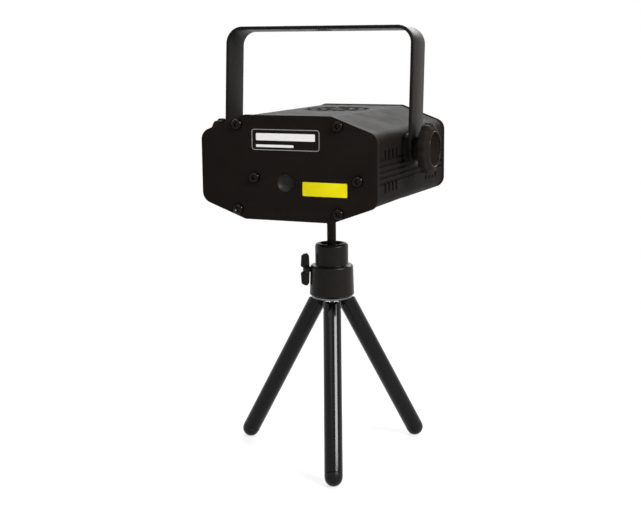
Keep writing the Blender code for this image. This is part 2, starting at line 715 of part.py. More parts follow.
def make_rear_controls(body):
    face = GAP + JACK_FLANGE_T
    pin_top = face - JACK_PIN_INSET
    bore_end = face - JACK_BORE_L
    jack_profile = [
        (0.0, pin_top), (JACK_PIN_R, pin_top), (JACK_PIN_R, bore_end), (JACK_BORE_R, bore_end),
        (JACK_BORE_R, face), (JACK_FLANGE_R, face), (JACK_FLANGE_R, GAP),
        (JACK_R, GAP), (JACK_R, -JACK_L), (0.0, -JACK_L),
    ]
    jack = turned("dc_jack", jack_profile, "black_plastic", body, steps=SLIM_STEPS)
    place(jack, (JACK_X, REAR_Y, CONTROL_Z), (-90, 0, 0))
    inner_y = REAR_Y - PLATE_T - GAP
    case_w = SLIDER_W + 2 * SWITCH_TRAVEL + 5.0
    block = boxes(((0, -SWITCH_L / 2, 0), (case_w, SWITCH_L, SLIDER_H + 4.0)))
    case = solid("mode_switch", block, "black_plastic", body)
    place(case, (SWITCH_X, inner_y, CONTROL_Z))
    room = (SLIDER_W + 2 * (SWITCH_TRAVEL + GAP), 2 * SLIDER_TAIL, SLIDER_H + 2 * GAP)
    combine(case, boxes(((0, 0, 0), room)), "DIFFERENCE", case.location / MM)
    slide = pivot("mode_slide", (SWITCH_X, inner_y, CONTROL_Z), parent=body)
    tail = SLIDER_TAIL - GAP
    reach = tail + GAP + PLATE_T + SLIDER_PROUD
    solid(
        "mode_slider", boxes(((0, reach / 2 - tail, 0), (SLIDER_W, reach, SLIDER_H))), "black_plastic", slide,
    )
    shaft_top = SPEED_KNOB_PROUD - SPEED_KNOB_ROOF
    behind = -PLATE_T - GAP
    pot_profile = [
        (0.0, shaft_top), (POT_SHAFT_R, shaft_top), (POT_SHAFT_R, behind),
        (POT_R, behind), (POT_R, behind - POT_L), (0.0, behind - POT_L),
    ]
    pot = turned("speed_control", pot_profile, "dark_steel", body, steps=SLIM_STEPS)
    place(pot, (SPEED_X, REAR_Y, CONTROL_Z), (-90, 0, 0))
    turn = pivot("speed_axis", (SPEED_X, REAR_Y, CONTROL_Z), (-90, 0, 0), body)
    knob_l = SPEED_KNOB_PROUD - SPEED_KNOB_LIFT
    flutes = scallops(SPEED_KNOB_R, SPEED_KNOB_FLUTES, SPEED_FLUTE_DEPTH)
    knob = slab("speed_knob", [flutes], knob_l, "black_plastic", turn)
    place(knob, (0, 0, SPEED_KNOB_LIFT + knob_l / 2))
    combine(knob, rods(((0, 0, -1), (0, 0, shaft_top + GAP), POT_SHAFT_R + RUN_GAP)))
    mic = solid("microphone", rods(((0, 0, 0), (0, -MIC_L, 0), MIC_R)), "aluminium", body)
    place(mic, (MIC_X, inner_y, CONTROL_Z))


def scallops(radius, count, depth):
    """A round outline with shallow hollows cut into its edge."""
    points = []
    for i in range(count * FLUTE_STEPS):
        hollow = 0.5 + 0.5 * math.cos(math.tau * i / FLUTE_STEPS)
        turn = math.tau * i / (count * FLUTE_STEPS)
        r = radius - depth * hollow ** 1.5
        points.append((r * math.cos(turn), r * math.sin(turn)))
    return points


def make_yoke(frame):
    """Flat strip bent into a U, with round arm ends and a hanging hole in its crossbar."""
    outer = ARM_OUTER_X
    inner = ARM_INNER_X
    low = -YOKE_W / 2 - 1.0
    bend = YOKE_CORNER_R - YOKE_T
    under = YOKE_RISE - YOKE_T
    outside = [(-outer, YOKE_RISE, YOKE_CORNER_R), (outer, YOKE_RISE, YOKE_CORNER_R), (outer, low, 0)]
    inside = [(inner, low, 0), (inner, under, bend), (-inner, under, bend), (-inner, low, 0)]
    outline = rounded([(-outer, low, 0), *outside, *inside], 6)
    yoke = slab("yoke", [outline], YOKE_W, "black_painted_metal", frame)
    place(yoke, (0, 0, 0), (90, 0, 0))
    half = YOKE_W / 2
    side = [(-half, YOKE_RISE + 5)] + [(half, YOKE_RISE + 5)] + arc((0, 0), half, 0, -180, 12)
    combine(yoke, slab_mesh("yoke_side", [side], YOKE_SPAN + 10), "INTERSECT", (0, 0, 0), (90, 0, 90))
    reach = outer + 5
    pivots = ((-reach, 0, 0), (reach, 0, 0), BOLT_R + RUN_GAP)
    hang = ((0, 0, YOKE_RISE - 8), (0, 0, YOKE_RISE + 8), YOKE_HOLE_R)
    combine(yoke, rods(pivots, hang))


def make_knob(side, word, body):
    """Fluted, dished clamp knob with bolt, nut and spacer; side is -1 on the left and 1 on the right."""
    axis = pivot(word + "_knob_axis", (0, PIVOT_Y, PIVOT_Z), (0, 90 * side, 0), body)
    seat = ARM_OUTER_X + GAP
    rim = seat + KNOB_BOSS_L
    cap = rim + KNOB_RIM_L
    top = cap + KNOB_FACE_L
    flutes = scallops(KNOB_R, KNOB_FLUTES, KNOB_FLUTE_DEPTH)
    knob = slab(word + "_knob", [flutes], KNOB_RIM_L, "black_plastic", axis)
    place(knob, (0, 0, rim + KNOB_RIM_L / 2))
    core = KNOB_R - KNOB_FLUTE_DEPTH - 0.6
    body_profile = [
        (0.0, top), (KNOB_FACE_R, top), (core, cap - 0.2), (core, cap - 1.0),
        (KNOB_BOSS_R, rim + 0.6), (KNOB_BOSS_R, seat), (0.0, seat),
    ]
    combine(knob, turned_tool(body_profile), "UNION")
    floor = top - KNOB_DISH_DEPTH
    mouth = KNOB_FACE_R - KNOB_LIP
    dish = [(0.0, top + 1), (mouth, top + 1), (mouth, top), (KNOB_DISH_R, floor), (0.0, floor)]
    combine(knob, turned_tool(dish))
    bolt_end = seat + KNOB_BORE_L
    combine(knob, rods(((0, 0, seat - 1), (0, 0, bolt_end + GAP), BOLT_R + GAP)))
    wall = SHELL_W / 2 - SHELL_WALL
    bolt = solid(
        word + "_knob_bolt",
        rods(((0, 0, wall - NUT_T - 2), (0, 0, bolt_end), BOLT_R)), "dark_steel", axis,
    )
    place(bolt, (0, 0, 0))
    mate = pivot(word + "_nut_place", (0, PIVOT_Y, PIVOT_Z), (0, 90 * side, 0), body)
    hexagon = circle((0, 0), NUT_R, 6)
    nut = slab(word + "_pivot_nut", [hexagon, circle((0, 0), BOLT_R + GAP)], NUT_T, "dark_steel", mate)
    place(nut, (0, 0, wall - GAP - NUT_T / 2))
    inner = SHELL_W / 2 + GAP
    outer = ARM_INNER_X - GAP
    bore = BOLT_R + GAP
    ring = [(WASHER_R, outer), (WASHER_R, inner), (bore, inner), (bore, outer)]
    turned(word + "_spacer", ring, "rubber", mate, closed=True, steps=SLIM_STEPS)


def make_ball_head(head):
    """Socket, seat and hub of the tripod's head."""
    pocket = BALL_R + GAP
    lip = math.degrees(math.asin(SOCKET_LIP_H / pocket))
    bore = SEAT_R + GAP
    inside = [(SOCKET_MOUTH_R, SOCKET_TOP)]
    inside += arc((0, BALL_Z), pocket, lip, 0, 6)
    inside += [(bore, BALL_Z - 1.2), (bore, STEP_Z + GAP)]
    outside = [(SOCKET_R, STEP_Z + GAP), (SOCKET_R, SOCKET_TOP - 0.7), (SOCKET_R - 0.7, SOCKET_TOP)]
    turned("ball_socket", list(reversed(inside + outside)), "black_plastic", head, closed=True)
    floor_z = SEAT_FLOOR_Z - GAP
    edge = (HUB_TOP_R - HUB_EDGE_R, STEP_Z - HUB_EDGE_R)
    profile = [(0.0, floor_z), (bore, floor_z), (bore, STEP_Z), (edge[0], STEP_Z)]
    profile += arc(edge, HUB_EDGE_R, 75, 0, 4)
    profile += [(HUB_R, HUB_Z + 1.0), (HUB_R - 0.6, HUB_Z), (0.0, HUB_Z)]
    hub = turned("leg_hub", profile, "black_plastic", head, steps=LARGE_STEPS)
    heading = math.radians(LOCK_HEADING)
    out = Vector((math.cos(heading), math.sin(heading), 0.0))
    start = out * (SEAT_R - 2)
    end = out * (HUB_R + 6)
    lift = Vector((0, 0, LOCK_Z))
    combine(hub, rods((start + lift, end + lift, LOCK_SHAFT_R + GAP)))


def make_lock_screw(head):
    """Wing screw that clamps the ball's seat."""
    axis = pivot("lock_axis", (0, 0, LOCK_Z), (0, 90, LOCK_HEADING), head)
    shaft_end = WING_START + LOCK_TIP_L
    solid(
        "lock_screw", rods(((0, 0, SEAT_R + GAP), (0, 0, shaft_end), LOCK_SHAFT_R)), "chrome", axis,
    )
    far = WING_START + WING_L
    half = [
        (WING_HUB_R, WING_START), (WING_HALF * 0.6, WING_START + 0.2), (WING_HALF - 0.8, WING_START + 1.4),
        (WING_HALF, WING_START + 2.6), (WING_HALF - 0.4, far - 0.8), (WING_HALF - 1.4, far),
        (WING_NOTCH + 0.8, far), (WING_NOTCH, far - 0.8), (WING_NOTCH, WING_START + 2.0),
    ]
    outline = half + [(-x, z) for x, z in reversed(half)]
    wing = slab("lock_wing", [outline], WING_T, "black_plastic", axis)
    place(wing, (0, 0, 0), (90, 0, 0))
    combine(wing, rods(((0, 0, WING_START), (0, 0, WING_START + WING_HUB_L), WING_HUB_R)), "UNION")
    combine(wing, rods(((0, 0, WING_START - 1), (0, 0, shaft_end + GAP), LOCK_SHAFT_R + GAP)))


def make_ball_seat(head):
    dish = BALL_R + GAP
    brim_z = BALL_Z - SEAT_BRIM_DROP
    angle = math.degrees(math.asin(SEAT_BRIM_DROP / dish))
    profile = [(0.0, BALL_Z - dish), *reversed(arc((0, BALL_Z), dish, -angle, -80, 5))]
    profile += [(SEAT_R, brim_z), (SEAT_R, SEAT_FLOOR_Z), (0.0, SEAT_FLOOR_Z)]
    turned("ball_seat", profile, "black_plastic", head)


def make_ball_stud(ball):
    """Ball with its stem and the threaded stud that screws into the projector."""
    base_z = BODY_Z + SHELL_BOTTOM - BALL_Z
    neck = math.degrees(math.acos(STEM_R / BALL_R))
    profile = [
        (0.0, base_z + STUD_L), (STUD_R - 0.4, base_z + STUD_L), (STUD_R, base_z + STUD_L - 0.4),
        (STUD_R, base_z + 0.6), (STEM_R, base_z - 0.2),
    ]
    profile += arc((0, 0), BALL_R, neck, -80, 9) + [(0.0, -BALL_R)]
    turned("ball_stud", profile, "dark_steel", ball)


def make_tripod_bush(body):
    """Threaded insert in the housing's underside."""
    bore = STUD_R + GAP
    top = SHELL_BOTTOM + STUD_L + 1.5
    under = SHELL_BOTTOM - GAP
    face = under - BUSH_FLANGE_T
    profile = [
        (BUSH_R, top), (BUSH_R, under), (BUSH_FLANGE_R, under), (BUSH_FLANGE_R - 0.4, face),
        (bore, face), (bore, top),
    ]
    bush = turned("tripod_bush", profile, "black_plastic", body, closed=True)
    place(bush, (0, TRIPOD_Y, 0))


def leg_headings():
    return [LEG_HEADING + 360.0 * i / LEG_COUNT for i in range(LEG_COUNT)]


def make_leg_bracket(head):
    """Bright ring under the hub with a lug for each leg."""
    top = HUB_Z - GAP
    under = top - RING_T
    profile = [(RING_R, top), (RING_R, under), (RING_BORE_R, under), (RING_BORE_R, top)]
    bracket = turned("leg_bracket", profile, "chrome", head, closed=True, steps=LARGE_STEPS)
    rise = under - PIN_Z + RING_T / 2
    inner = PIN_RADIUS - LUG_R
    outer = PIN_RADIUS + LUG_SHOULDER
    side = [(inner, rise), (outer, rise)]
    side += [(PIN_RADIUS + x, z) for x, z in arc((0, 0), LUG_R, 0, -180, 8) if PIN_RADIUS + x < outer]
    lug = slab_mesh("lug", [side], LUG_T)
    for heading in leg_headings():
        combine(bracket, lug, "UNION", (0, 0, PIN_Z), (90, 0, heading))
    bores = []
    for heading in leg_headings():
        out = Vector((math.cos(math.radians(heading)), math.sin(math.radians(heading)), 0.0))
        across = Vector((-out.y, out.x, 0.0)) * LUG_T
        spot = out * PIN_RADIUS + Vector((0, 0, PIN_Z))
        bores.append((spot - across, spot + across, PIN_R + GAP))
    combine(bracket, rods(*bores))


def make_leg(word, heading, head):
    """Forked top, tube, pin and rubber foot of one leg, along the leg's own -Z from its pin."""
    turn = math.radians(heading)
    spot = (PIN_RADIUS * math.cos(turn), PIN_RADIUS * math.sin(turn), PIN_Z)
    axis = pivot(word + "_leg_axis", spot, (0, -LEG_SPLAY, heading), head)
    bore = LEG_R - LEG_WALL
    spigot = bore - GAP
    plug_end = -CAP_L - SPIGOT_L
    cap_profile = [
        (0.0, LEG_R + 1.0), (LEG_R, LEG_R + 1.0), (LEG_R, -CAP_L),
        (spigot, -CAP_L), (spigot, plug_end), (0.0, plug_end),
    ]
    cap = turned(word + "_leg_top", cap_profile, "black_plastic", axis, steps=SLIM_STEPS)
    crown_r = LEG_R + 0.05
    below = plug_end - LEG_R
    crown = [(crown_r, below)] + arc((0, 0), crown_r, 0, 180, 10) + [(-crown_r, below)]
    combine(cap, slab_mesh("crown", [crown], LEG_R * 3), "INTERSECT", (0, 0, 0), (90, 0, 0))
    pocket_r = LUG_R + 2 * GAP
    pocket_w = LUG_T + 2 * GAP
    combine(cap, boxes(((0, 0, LEG_R), (2 * pocket_r, pocket_w, 2 * LEG_R))))
    combine(cap, rods(((0, -pocket_w / 2, 0), (0, pocket_w / 2, 0), pocket_r), segments=SLIM_STEPS))
    combine(cap, rods(((0, -LEG_R * 2, 0), (0, LEG_R * 2, 0), PIN_R + GAP)))
    foot_top = -LEG_L + FOOT_L
    tube_top = -CAP_L - GAP
    tube_end = foot_top + GAP
    ring = [(LEG_R, tube_top), (LEG_R, tube_end), (bore, tube_end), (bore, tube_top)]
    turned(word + "_leg_tube", ring, "gloss_black", axis, closed=True, steps=SLIM_STEPS)
    foot_profile = [(0.0, foot_top + SPIGOT_L), (spigot, foot_top + SPIGOT_L), (spigot, foot_top)]
    foot_profile += [(LEG_R, foot_top), (FOOT_R, foot_top - 1.0)]
    foot_profile += arc((0, -LEG_L), FOOT_R, 0, -78, 5) + [(0.0, -LEG_L - FOOT_R)]
    foot = turned(word + "_leg_foot", foot_profile, "rubber", axis, steps=SLIM_STEPS)
    wide = FOOT_R * 4
    floor = boxes(((0, 0, -FOOT_Z - wide / 2), (wide, wide, wide)))
    combine(foot, floor, "DIFFERENCE", (0, 0, -LEG_L), (0, LEG_SPLAY, 0))
    solid(
        word + "_leg_pin", rods(((0, -PIN_L / 2, 0), (0, PIN_L / 2, 0), PIN_R)), "dark_steel", axis,
    )


def make_tripod():
    head = pivot("tripod_frame", (0, 0, 0))
    make_ball_head(head)
    make_lock_screw(head)
    make_leg_bracket(head)
    make_ball_seat(pivot("pan_axis", (0, 0, 0), parent=head))
    for word, heading in zip(("front", "right", "left"), leg_headings()):
        make_leg(word, heading, head)
    return head


def make_projector(head):
    ball = pivot("tilt_axis", (0, 0, BALL_Z), parent=head)
    make_ball_stud(ball)
    body = pivot("projector_frame", (0, BODY_Y, BODY_Z - BALL_Z), parent=ball)
    make_housing(body)
    make_end_plates(body)
    make_screws(body)
    make_optics(body)
    make_grating_wheel(body)
    make_fan(body)
    make_board(body)
    make_rear_controls(body)
    make_tripod_bush(body)
    make_yoke(pivot("yoke_axis", (0, PIVOT_Y, PIVOT_Z), (-YOKE_LEAN, 0, 0), body))
    make_knob(-1, "left", body)
    make_knob(1, "right", body)


clear_scene()
PARTS = collection("light_projector")
TOOLS = collection("tools")
make_projector(make_tripod())
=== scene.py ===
"""Looks of a small laser-light projector on a tabletop tripod, laid out as a Blender add-on.

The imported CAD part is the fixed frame. Each operator makes one piece, or a group of pieces that belong
together, and sets each on the CAD body that carries it. Shapes are drawn in millimetres in the frame of
their own seat and are turned into metres when they are placed. +Z is up and the front faces -Y.
"""

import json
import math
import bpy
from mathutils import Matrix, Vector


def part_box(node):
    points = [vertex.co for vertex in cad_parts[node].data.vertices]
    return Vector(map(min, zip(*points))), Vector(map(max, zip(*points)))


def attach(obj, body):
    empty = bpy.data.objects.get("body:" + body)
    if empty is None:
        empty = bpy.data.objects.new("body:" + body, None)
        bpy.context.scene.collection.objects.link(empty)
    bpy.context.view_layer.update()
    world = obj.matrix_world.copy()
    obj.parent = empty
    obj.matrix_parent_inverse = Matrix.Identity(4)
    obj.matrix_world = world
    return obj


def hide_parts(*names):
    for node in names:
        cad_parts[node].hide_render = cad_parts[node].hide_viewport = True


bl_info = {
    "name": "Light Projector Looks",
    "version": (1, 0, 0),
    "blender": (4, 5, 0),
    "location": "View3D > Sidebar > Projector",
    "description": "Builds the finished pieces, materials and studio of a light projector on a tripod",
    "category": "Object",
}

import bmesh
import bpy
from bpy.props import FloatProperty, FloatVectorProperty, IntProperty, PointerProperty
from mathutils import Matrix, Quaternion, Vector

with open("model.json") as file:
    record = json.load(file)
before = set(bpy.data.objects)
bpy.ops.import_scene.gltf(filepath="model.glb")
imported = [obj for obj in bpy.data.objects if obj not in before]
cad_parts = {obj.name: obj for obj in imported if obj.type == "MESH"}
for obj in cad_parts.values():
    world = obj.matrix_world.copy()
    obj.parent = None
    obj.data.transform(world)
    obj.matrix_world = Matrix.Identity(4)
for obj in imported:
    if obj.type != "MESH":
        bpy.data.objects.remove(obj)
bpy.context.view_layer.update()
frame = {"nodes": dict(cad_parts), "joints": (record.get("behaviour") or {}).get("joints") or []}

MM = 0.001
SHADE_ANGLE = math.radians(32)


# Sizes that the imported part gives, in millimetres

def node_box(name):
    """Lowest and highest corner of a CAD node in millimetres."""
    low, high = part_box(name)
    return low / MM, high / MM


def joint(name):
    """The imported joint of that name."""
    return next(j for j in frame["joints"] if j["name"] == name)


PLATE_LOW, PLATE_HIGH = node_box("front_plate")
REAR_HIGH = node_box("rear_plate")[1]
SHELL_LOW, SHELL_HIGH = node_box("housing")
SOCKET_LOW, SOCKET_HIGH = node_box("ball_socket")
HUB_LOW, HUB_HIGH = node_box("leg_hub")
BODY_W = PLATE_HIGH.x - PLATE_LOW.x
BODY_H = PLATE_HIGH.z - PLATE_LOW.z
BODY_D = REAR_HIGH.y - PLATE_LOW.y
PLATE_T = PLATE_HIGH.y - PLATE_LOW.y
SHELL_D = SHELL_HIGH.y - SHELL_LOW.y
SHELL_INSET = (BODY_W - SHELL_HIGH.x + SHELL_LOW.x) / 2
BODY_AT = Vector((0.0, (PLATE_LOW.y + REAR_HIGH.y) / 2, (PLATE_LOW.z + PLATE_HIGH.z) / 2))
YOKE_AT = Vector(joint("yoke_swing")["pos_m"]) / MM
LOCK_AT = Vector(joint("lock_turn")["pos_m"]) / MM
LOCK_AXIS = Vector(joint("lock_turn")["axis"])
BALL_AT = Vector(joint("ball_tilt")["pos_m"]) / MM
LEGS = ("front", "right", "left")
LEG_AT = {word: Vector(joint(word + "_leg_fold")["pos_m"]) / MM for word in LEGS}

# Sizes of the finished pieces that a user has no need to change, in millimetres. HAIR is the least overlap
# or clearance.
GAP = 0.3
HAIR = 0.05
CHAMFER_X = 28.4
CHAMFER_Z = 10.4
SIDE_CORNER_R = 7.0
FLAT_CORNER_R = 4.0
SHELL_WALL = 2.0
INNER_CORNER_R = 1.5
GROOVE_COUNT = 5
GROOVE_PITCH = 3.3
GROOVE_W = 1.5
GROOVE_DEPTH = 0.8
GROOVE_Z = -1.2
SLOT_PITCH = 6.2
SLOT_COUNT = 4
SLOT_SIZE = (2.4, 6.0)
SLOT_ROW = 9.6
SLOT_STARTS = (14.0, 86.0)
GRILLE = ((6.5, 4), (12.5, 8), (18.5, 11))
GRILLE_SLOT = (2.4, 7.4)
GRILLE_Y = 15.0
SCREW_SPOTS = {
    "upper_left": (-32.0, 25.0),
    "upper_right": (32.0, 25.0),
    "lower_left": (-32.0, -25.0),
    "lower_right": (32.0, -25.0),
}
MID_SPOTS = {"mid_left": (-21.0, -5.8), "mid_right": (44.0, -5.8)}
SCREW_R = 1.3
CORNER_SCREW_L = 11.0
MID_SCREW_L = 7.0
APERTURE = (-1.0, -8.4)
APERTURE_R = 5.4
WINDOW_R = 7.5
WINDOW_T = 1.4
JACK = (34.0, -4.0)
SWITCH = (10.0, -4.0)
SPEED = (-14.0, -4.0)
MIC = (-36.0, -4.0)
JACK_HOLE_R = 4.9
SPEED_HOLE_R = 3.3
MIC_HOLE_R = 1.5
SWITCH_SLOT = (7.8, 4.0, 0.5)
INK_T = 0.06
FRAME_AT = (-0.95, 16.5)
FRAME_SIZE = (43.1, 12.2)
FRAME_R = 1.8
BARS = (((-0.95, 18.1), 37.5, 4.2, 0.5), ((-7.7, 12.9), 24.0, 1.5, 0.3))
STICKER_AT = (23.6, -11.35)
STICKER_R = 0.6
STICKER_T = 0.15
STICKER_EDGE = 0.05
YOKE_SPAN = 123.0
YOKE_T = 2.0
YOKE_W = 20.6
YOKE_BEND_R = 10.5
YOKE_LEAN = 4.0
YOKE_RISE = 72.0
YOKE_HOLE_R = 5.2
BOLT_R = 2.3
BOLT_END = 48.1
SPACER_R = 8.8
BUSH_R = 6.0
BUSH_L = 9.0
KNOB_SEAT = YOKE_SPAN / 2
WING_START = 14.15
WING_L = 5.2
WING_T = 3.2
LOCK_R = 1.8
LOCK_BORE_R = 2.1
SEAT_BORE_R = 7.2
HUB_FLOOR_Z = 117.3
LEG_R = 5.6
LEG_SPLAY = 29.48
LEG_CAP_L = 6.4
TUBE_WALL = 0.7
SPIGOT_R = LEG_R - 1.0
SPIGOT_L = 6.0
FOOT_R = 5.5
FOOT_L = 2.4
FOOT_CUT = 0.3
RING_R = 12.4
RING_T = 1.5
LUG_T = 2.6
LUG_R = 3.2
PIN_R = 1.2
PIN_HALF = 5.45


def linear(value):
    """A linear RGBA colour from an sRGB hex value."""
    parts = [int(value[i:i + 2], 16) / 255 for i in (0, 2, 4)]
    return (*(v / 12.92 if v <= 0.04045 else ((v + 0.055) / 1.055) ** 2.4 for v in parts), 1.0)


def length(name, description, millimetres):
    """A length property with its default in millimetres."""
    return FloatProperty(name=name, description=description, default=millimetres * MM, min=0.0, unit="LENGTH",
                         precision=5)


def colour(name, description, value):
    """A colour property with its default as an sRGB hex value."""
    return FloatVectorProperty(name=name, description=description, default=linear(value), size=4, min=0.0,
                               max=1.0, subtype="COLOR")


class ProjectorSizes(bpy.types.PropertyGroup):
    """Sizes of the finished pieces."""

    plate_edge: length("Plate edge", "Rounding of the end plates' edges", 0.55)
    strip_edge: length("Strip edge", "Rounding of the yoke strip's edges", 0.4)
    head_radius: length("Screw head radius", "Radius of the pan-head screws", 3.2)
    head_rise: length("Screw head rise", "Height of the pan-head screws over the plate", 2.1)
    recess_width: length("Recess width", "Width of the cross recess's wings", 0.85)
    recess_reach: length("Recess reach", "Length of the cross recess across the head", 3.7)
    louvre_lip: length("Louvre lip", "Width of the raised lip round each top slot", 0.65)
    louvre_rise: length("Louvre rise", "Height of the raised lip round each top slot", 0.2)
    knob_radius: length("Knob radius", "Radius of the clamp knobs over their lobes", 15.5)
    flute_depth: length("Flute depth", "Depth of the clamp knobs' flutes", 0.8)
    flutes: IntProperty(name="Flutes", description="Number of flutes round a clamp knob", default=14, min=4)
    thread_pitch: length("Thread pitch", "Pitch of the screw threads that show", 0.7)
    print_line: length("Print line", "Width of the printed frame's line on the front plate", 0.45)
    sticker_width: length("Sticker width", "Width of the blank yellow sticker", 27.8)
    sticker_height: length("Sticker height", "Height of the blank yellow sticker", 8.1)


class ProjectorColours(bpy.types.PropertyGroup):
    """Main colour of each finish."""

    powder: colour("Powder coat", "Housing's powder coat", "12100f")
    panel: colour("Panel lacquer", "End plates' lacquer", "151210")
    enamel: colour("Strip enamel", "Yoke's stove enamel", "171514")
    plastic: colour("Moulded plastic", "Tripod head and rear controls", "110e0c")
    nylon: colour("Filled nylon", "Clamp knobs", "171412")
    tube: colour("Tube lacquer", "Tripod legs", "050505")
    rubber: colour("Rubber", "Spacers behind the yoke's arms", "13110f")
    cap: colour("Cap rubber", "Caps on the legs' ends", "0c0b0a")
    screw: colour("Blackened steel", "Screws and bolts", "201e1d")
    # The chromium tone is set darker than bright chrome: painted shade for the ring under the hub.
    chrome: colour("Chromium plate", "Ring under the hub and lock screw", "747577")
    print_ink: colour("Print ink", "Printed frame on the front plate", "8d8b8a")
    print_white: colour("White ink", "Plain printed bars on the front plate", "e9e8e6")
    sticker: colour("Sticker", "Blank sticker on the front plate", "dacd0c")
    floor: colour("Floor", "Studio paper", "f2f2f1")


def sizes():
    return bpy.context.scene.projector_sizes


def colours():
    return bpy.context.scene.projector_colours


def mm(value):
    """A length property's value in millimetres."""
    return value / MM


# Seats: each turns millimetres in the frame of one seat into metres in the row frame

def placing(at, turns):
    """A move to a spot, with turns in degrees about the axes there."""
    matrix = Matrix.Translation(at)
    for angle, axis in turns:
        matrix = matrix @ Matrix.Rotation(math.radians(angle), 4, axis)
    return matrix


def seat(at, *turns):
    return placing(Vector(at) * MM, turns) @ Matrix.Scale(MM, 4)


HEAD_SEAT = seat((0, 0, 0))
BODY_SEAT = seat(BODY_AT)
FRONT_SEAT = seat((BODY_AT.x, PLATE_LOW.y, BODY_AT.z), (90, "X"))
REAR_SEAT = seat((BODY_AT.x, REAR_HIGH.y, BODY_AT.z), (-90, "X"))
YOKE_SEAT = seat(YOKE_AT, (-YOKE_LEAN, "X"))
LOCK_SEAT = seat(LOCK_AT, (math.degrees(math.atan2(LOCK_AXIS.y, LOCK_AXIS.x)), "Z"), (90, "Y"))


def knob_seat(side):
    return seat(YOKE_AT, (90 * side, "Y"))


def leg_heading(word):
    return math.degrees(math.atan2(LEG_AT[word].y, LEG_AT[word].x))


def leg_seat(word):
    return seat(LEG_AT[word], (leg_heading(word), "Z"), (-LEG_SPLAY, "Y"))


# Shapes

def arc(centre, radius, start, end, steps):
    """Points of an arc, angles in degrees, both ends included."""
    turns = [math.radians(start + (end - start) * i / steps) for i in range(steps + 1)]
    return [(centre[0] + radius * math.cos(t), centre[1] + radius * math.sin(t)) for t in turns]


def circle(centre, radius, steps=48):
    return arc(centre, radius, 0.0, 360.0, steps)[:-1]


def rounded(corners, steps=8):
    """Closed outline from (x, y, radius) corners, each round one replaced by its arc."""
    points = []
    for i, (x, y, radius) in enumerate(corners):
        corner = Vector((x, y))
        if radius == 0.0:
            points.append((x, y))
            continue
        before = (Vector(corners[i - 1][:2]) - corner).normalized()
        after = (Vector(corners[(i + 1) % len(corners)][:2]) - corner).normalized()
        half = before.angle(after) / 2
        centre = corner + (before + after).normalized() * radius / math.sin(half)
        start = corner + before * radius / math.tan(half) - centre
        sweep = start.angle_signed(corner + after * radius / math.tan(half) - centre)
        points += [tuple(centre + Matrix.Rotation(-sweep * k / steps, 2) @ start) for k in range(steps + 1)]
    return points


def panel(centre, width, height, radius, steps=6):
    """A round-cornered rectangle."""
    x, y = width / 2, height / 2
    corners = [(x, y), (x, -y), (-x, -y), (-x, y)]
    return rounded([(centre[0] + a, centre[1] + b, radius) for a, b in corners], steps)


def octagon(inset):
    """Corners of the housing's section, moved in by inset, each with its radius."""
    half_w = BODY_W / 2 - inset
    half_h = BODY_H / 2 - inset
    slope = math.hypot(CHAMFER_X, CHAMFER_Z)
    flat_x = BODY_W / 2 - CHAMFER_X - inset * (slope - CHAMFER_X) / CHAMFER_Z
    side_z = BODY_H / 2 - CHAMFER_Z - inset * (slope - CHAMFER_Z) / CHAMFER_X
    quarter = [(flat_x, half_h, FLAT_CORNER_R), (half_w, side_z, SIDE_CORNER_R)]
    right = quarter + [(x, -z, r) for x, z, r in reversed(quarter)]
    return right + [(-x, z, r) for x, z, r in reversed(right)]


def linked(name, data):
    """A new object in the scene that holds the data."""
    holder = bpy.data.objects.new(name, data)
    bpy.context.scene.collection.objects.link(holder)
    return holder


def as_mesh(name, bm):
    """A mesh of the shape, which is used up."""
    mesh = bpy.data.meshes.new(name)
    bm.to_mesh(mesh)
    bm.free()
    return mesh


def evaluated(holder):
    """The shape that an object's curve or modifiers give."""
    graph = bpy.context.evaluated_depsgraph_get()
    bm = bmesh.new()
    bm.from_mesh(bpy.data.meshes.new_from_object(holder.evaluated_get(graph)))
    return bm


def drawn(outlines, thickness, edge=0.0, edge_steps=2):
    """Flat outlines, inner ones as holes, drawn out along Z about their plane with round edges."""
    curve = bpy.data.curves.new("outline", "CURVE")
    curve.dimensions = "2D"
    curve.fill_mode = "BOTH"
    curve.extrude = thickness / 2 - edge
    curve.bevel_depth = edge
    curve.bevel_resolution = edge_steps
    curve.offset = -edge
    for outline in outlines:
        spline = curve.splines.new("POLY")
        spline.points.add(len(outline) - 1)
        for point, (x, y) in zip(spline.points, outline):
            point.co = (x, y, 0.0, 1.0)
        spline.use_cyclic_u = True
    holder = linked("outline", curve)
    bm = evaluated(holder)
    bpy.data.objects.remove(holder)
    bpy.data.curves.remove(curve)
    return closed(bm)


def closed(bm):
    bmesh.ops.remove_doubles(bm, verts=bm.verts, dist=1e-4)
    bmesh.ops.recalc_face_normals(bm, faces=bm.faces)
    return bm


def lathe(profile, steps=64, ring=False):
    """A profile of (radius, height) points turned about Z; a ring's profile is closed."""
    bm = bmesh.new()
    verts = [bm.verts.new((r, 0.0, z)) for r, z in profile]
    edges = [bm.edges.new(pair) for pair in zip(verts, verts[1:])]
    if ring:
        edges.append(bm.edges.new((verts[-1], verts[0])))
    bmesh.ops.spin(bm, geom=verts + edges, cent=(0, 0, 0), axis=(0, 0, 1), angle=math.tau, steps=steps,
                   use_merge=True)
    return closed(bm)


def loft(rings):
    """A closed skin over rings of as many points each, with flat ends."""
    bm = bmesh.new()
    rows = [[bm.verts.new(p) for p in ring] for ring in rings]
    for low, high in zip(rows, rows[1:]):
        for i in range(len(low)):
            j = (i + 1) % len(low)
            bm.faces.new((low[i], low[j], high[j], high[i]))
    bm.faces.new(rows[0])
    bm.faces.new(rows[-1])
    return closed(bm)


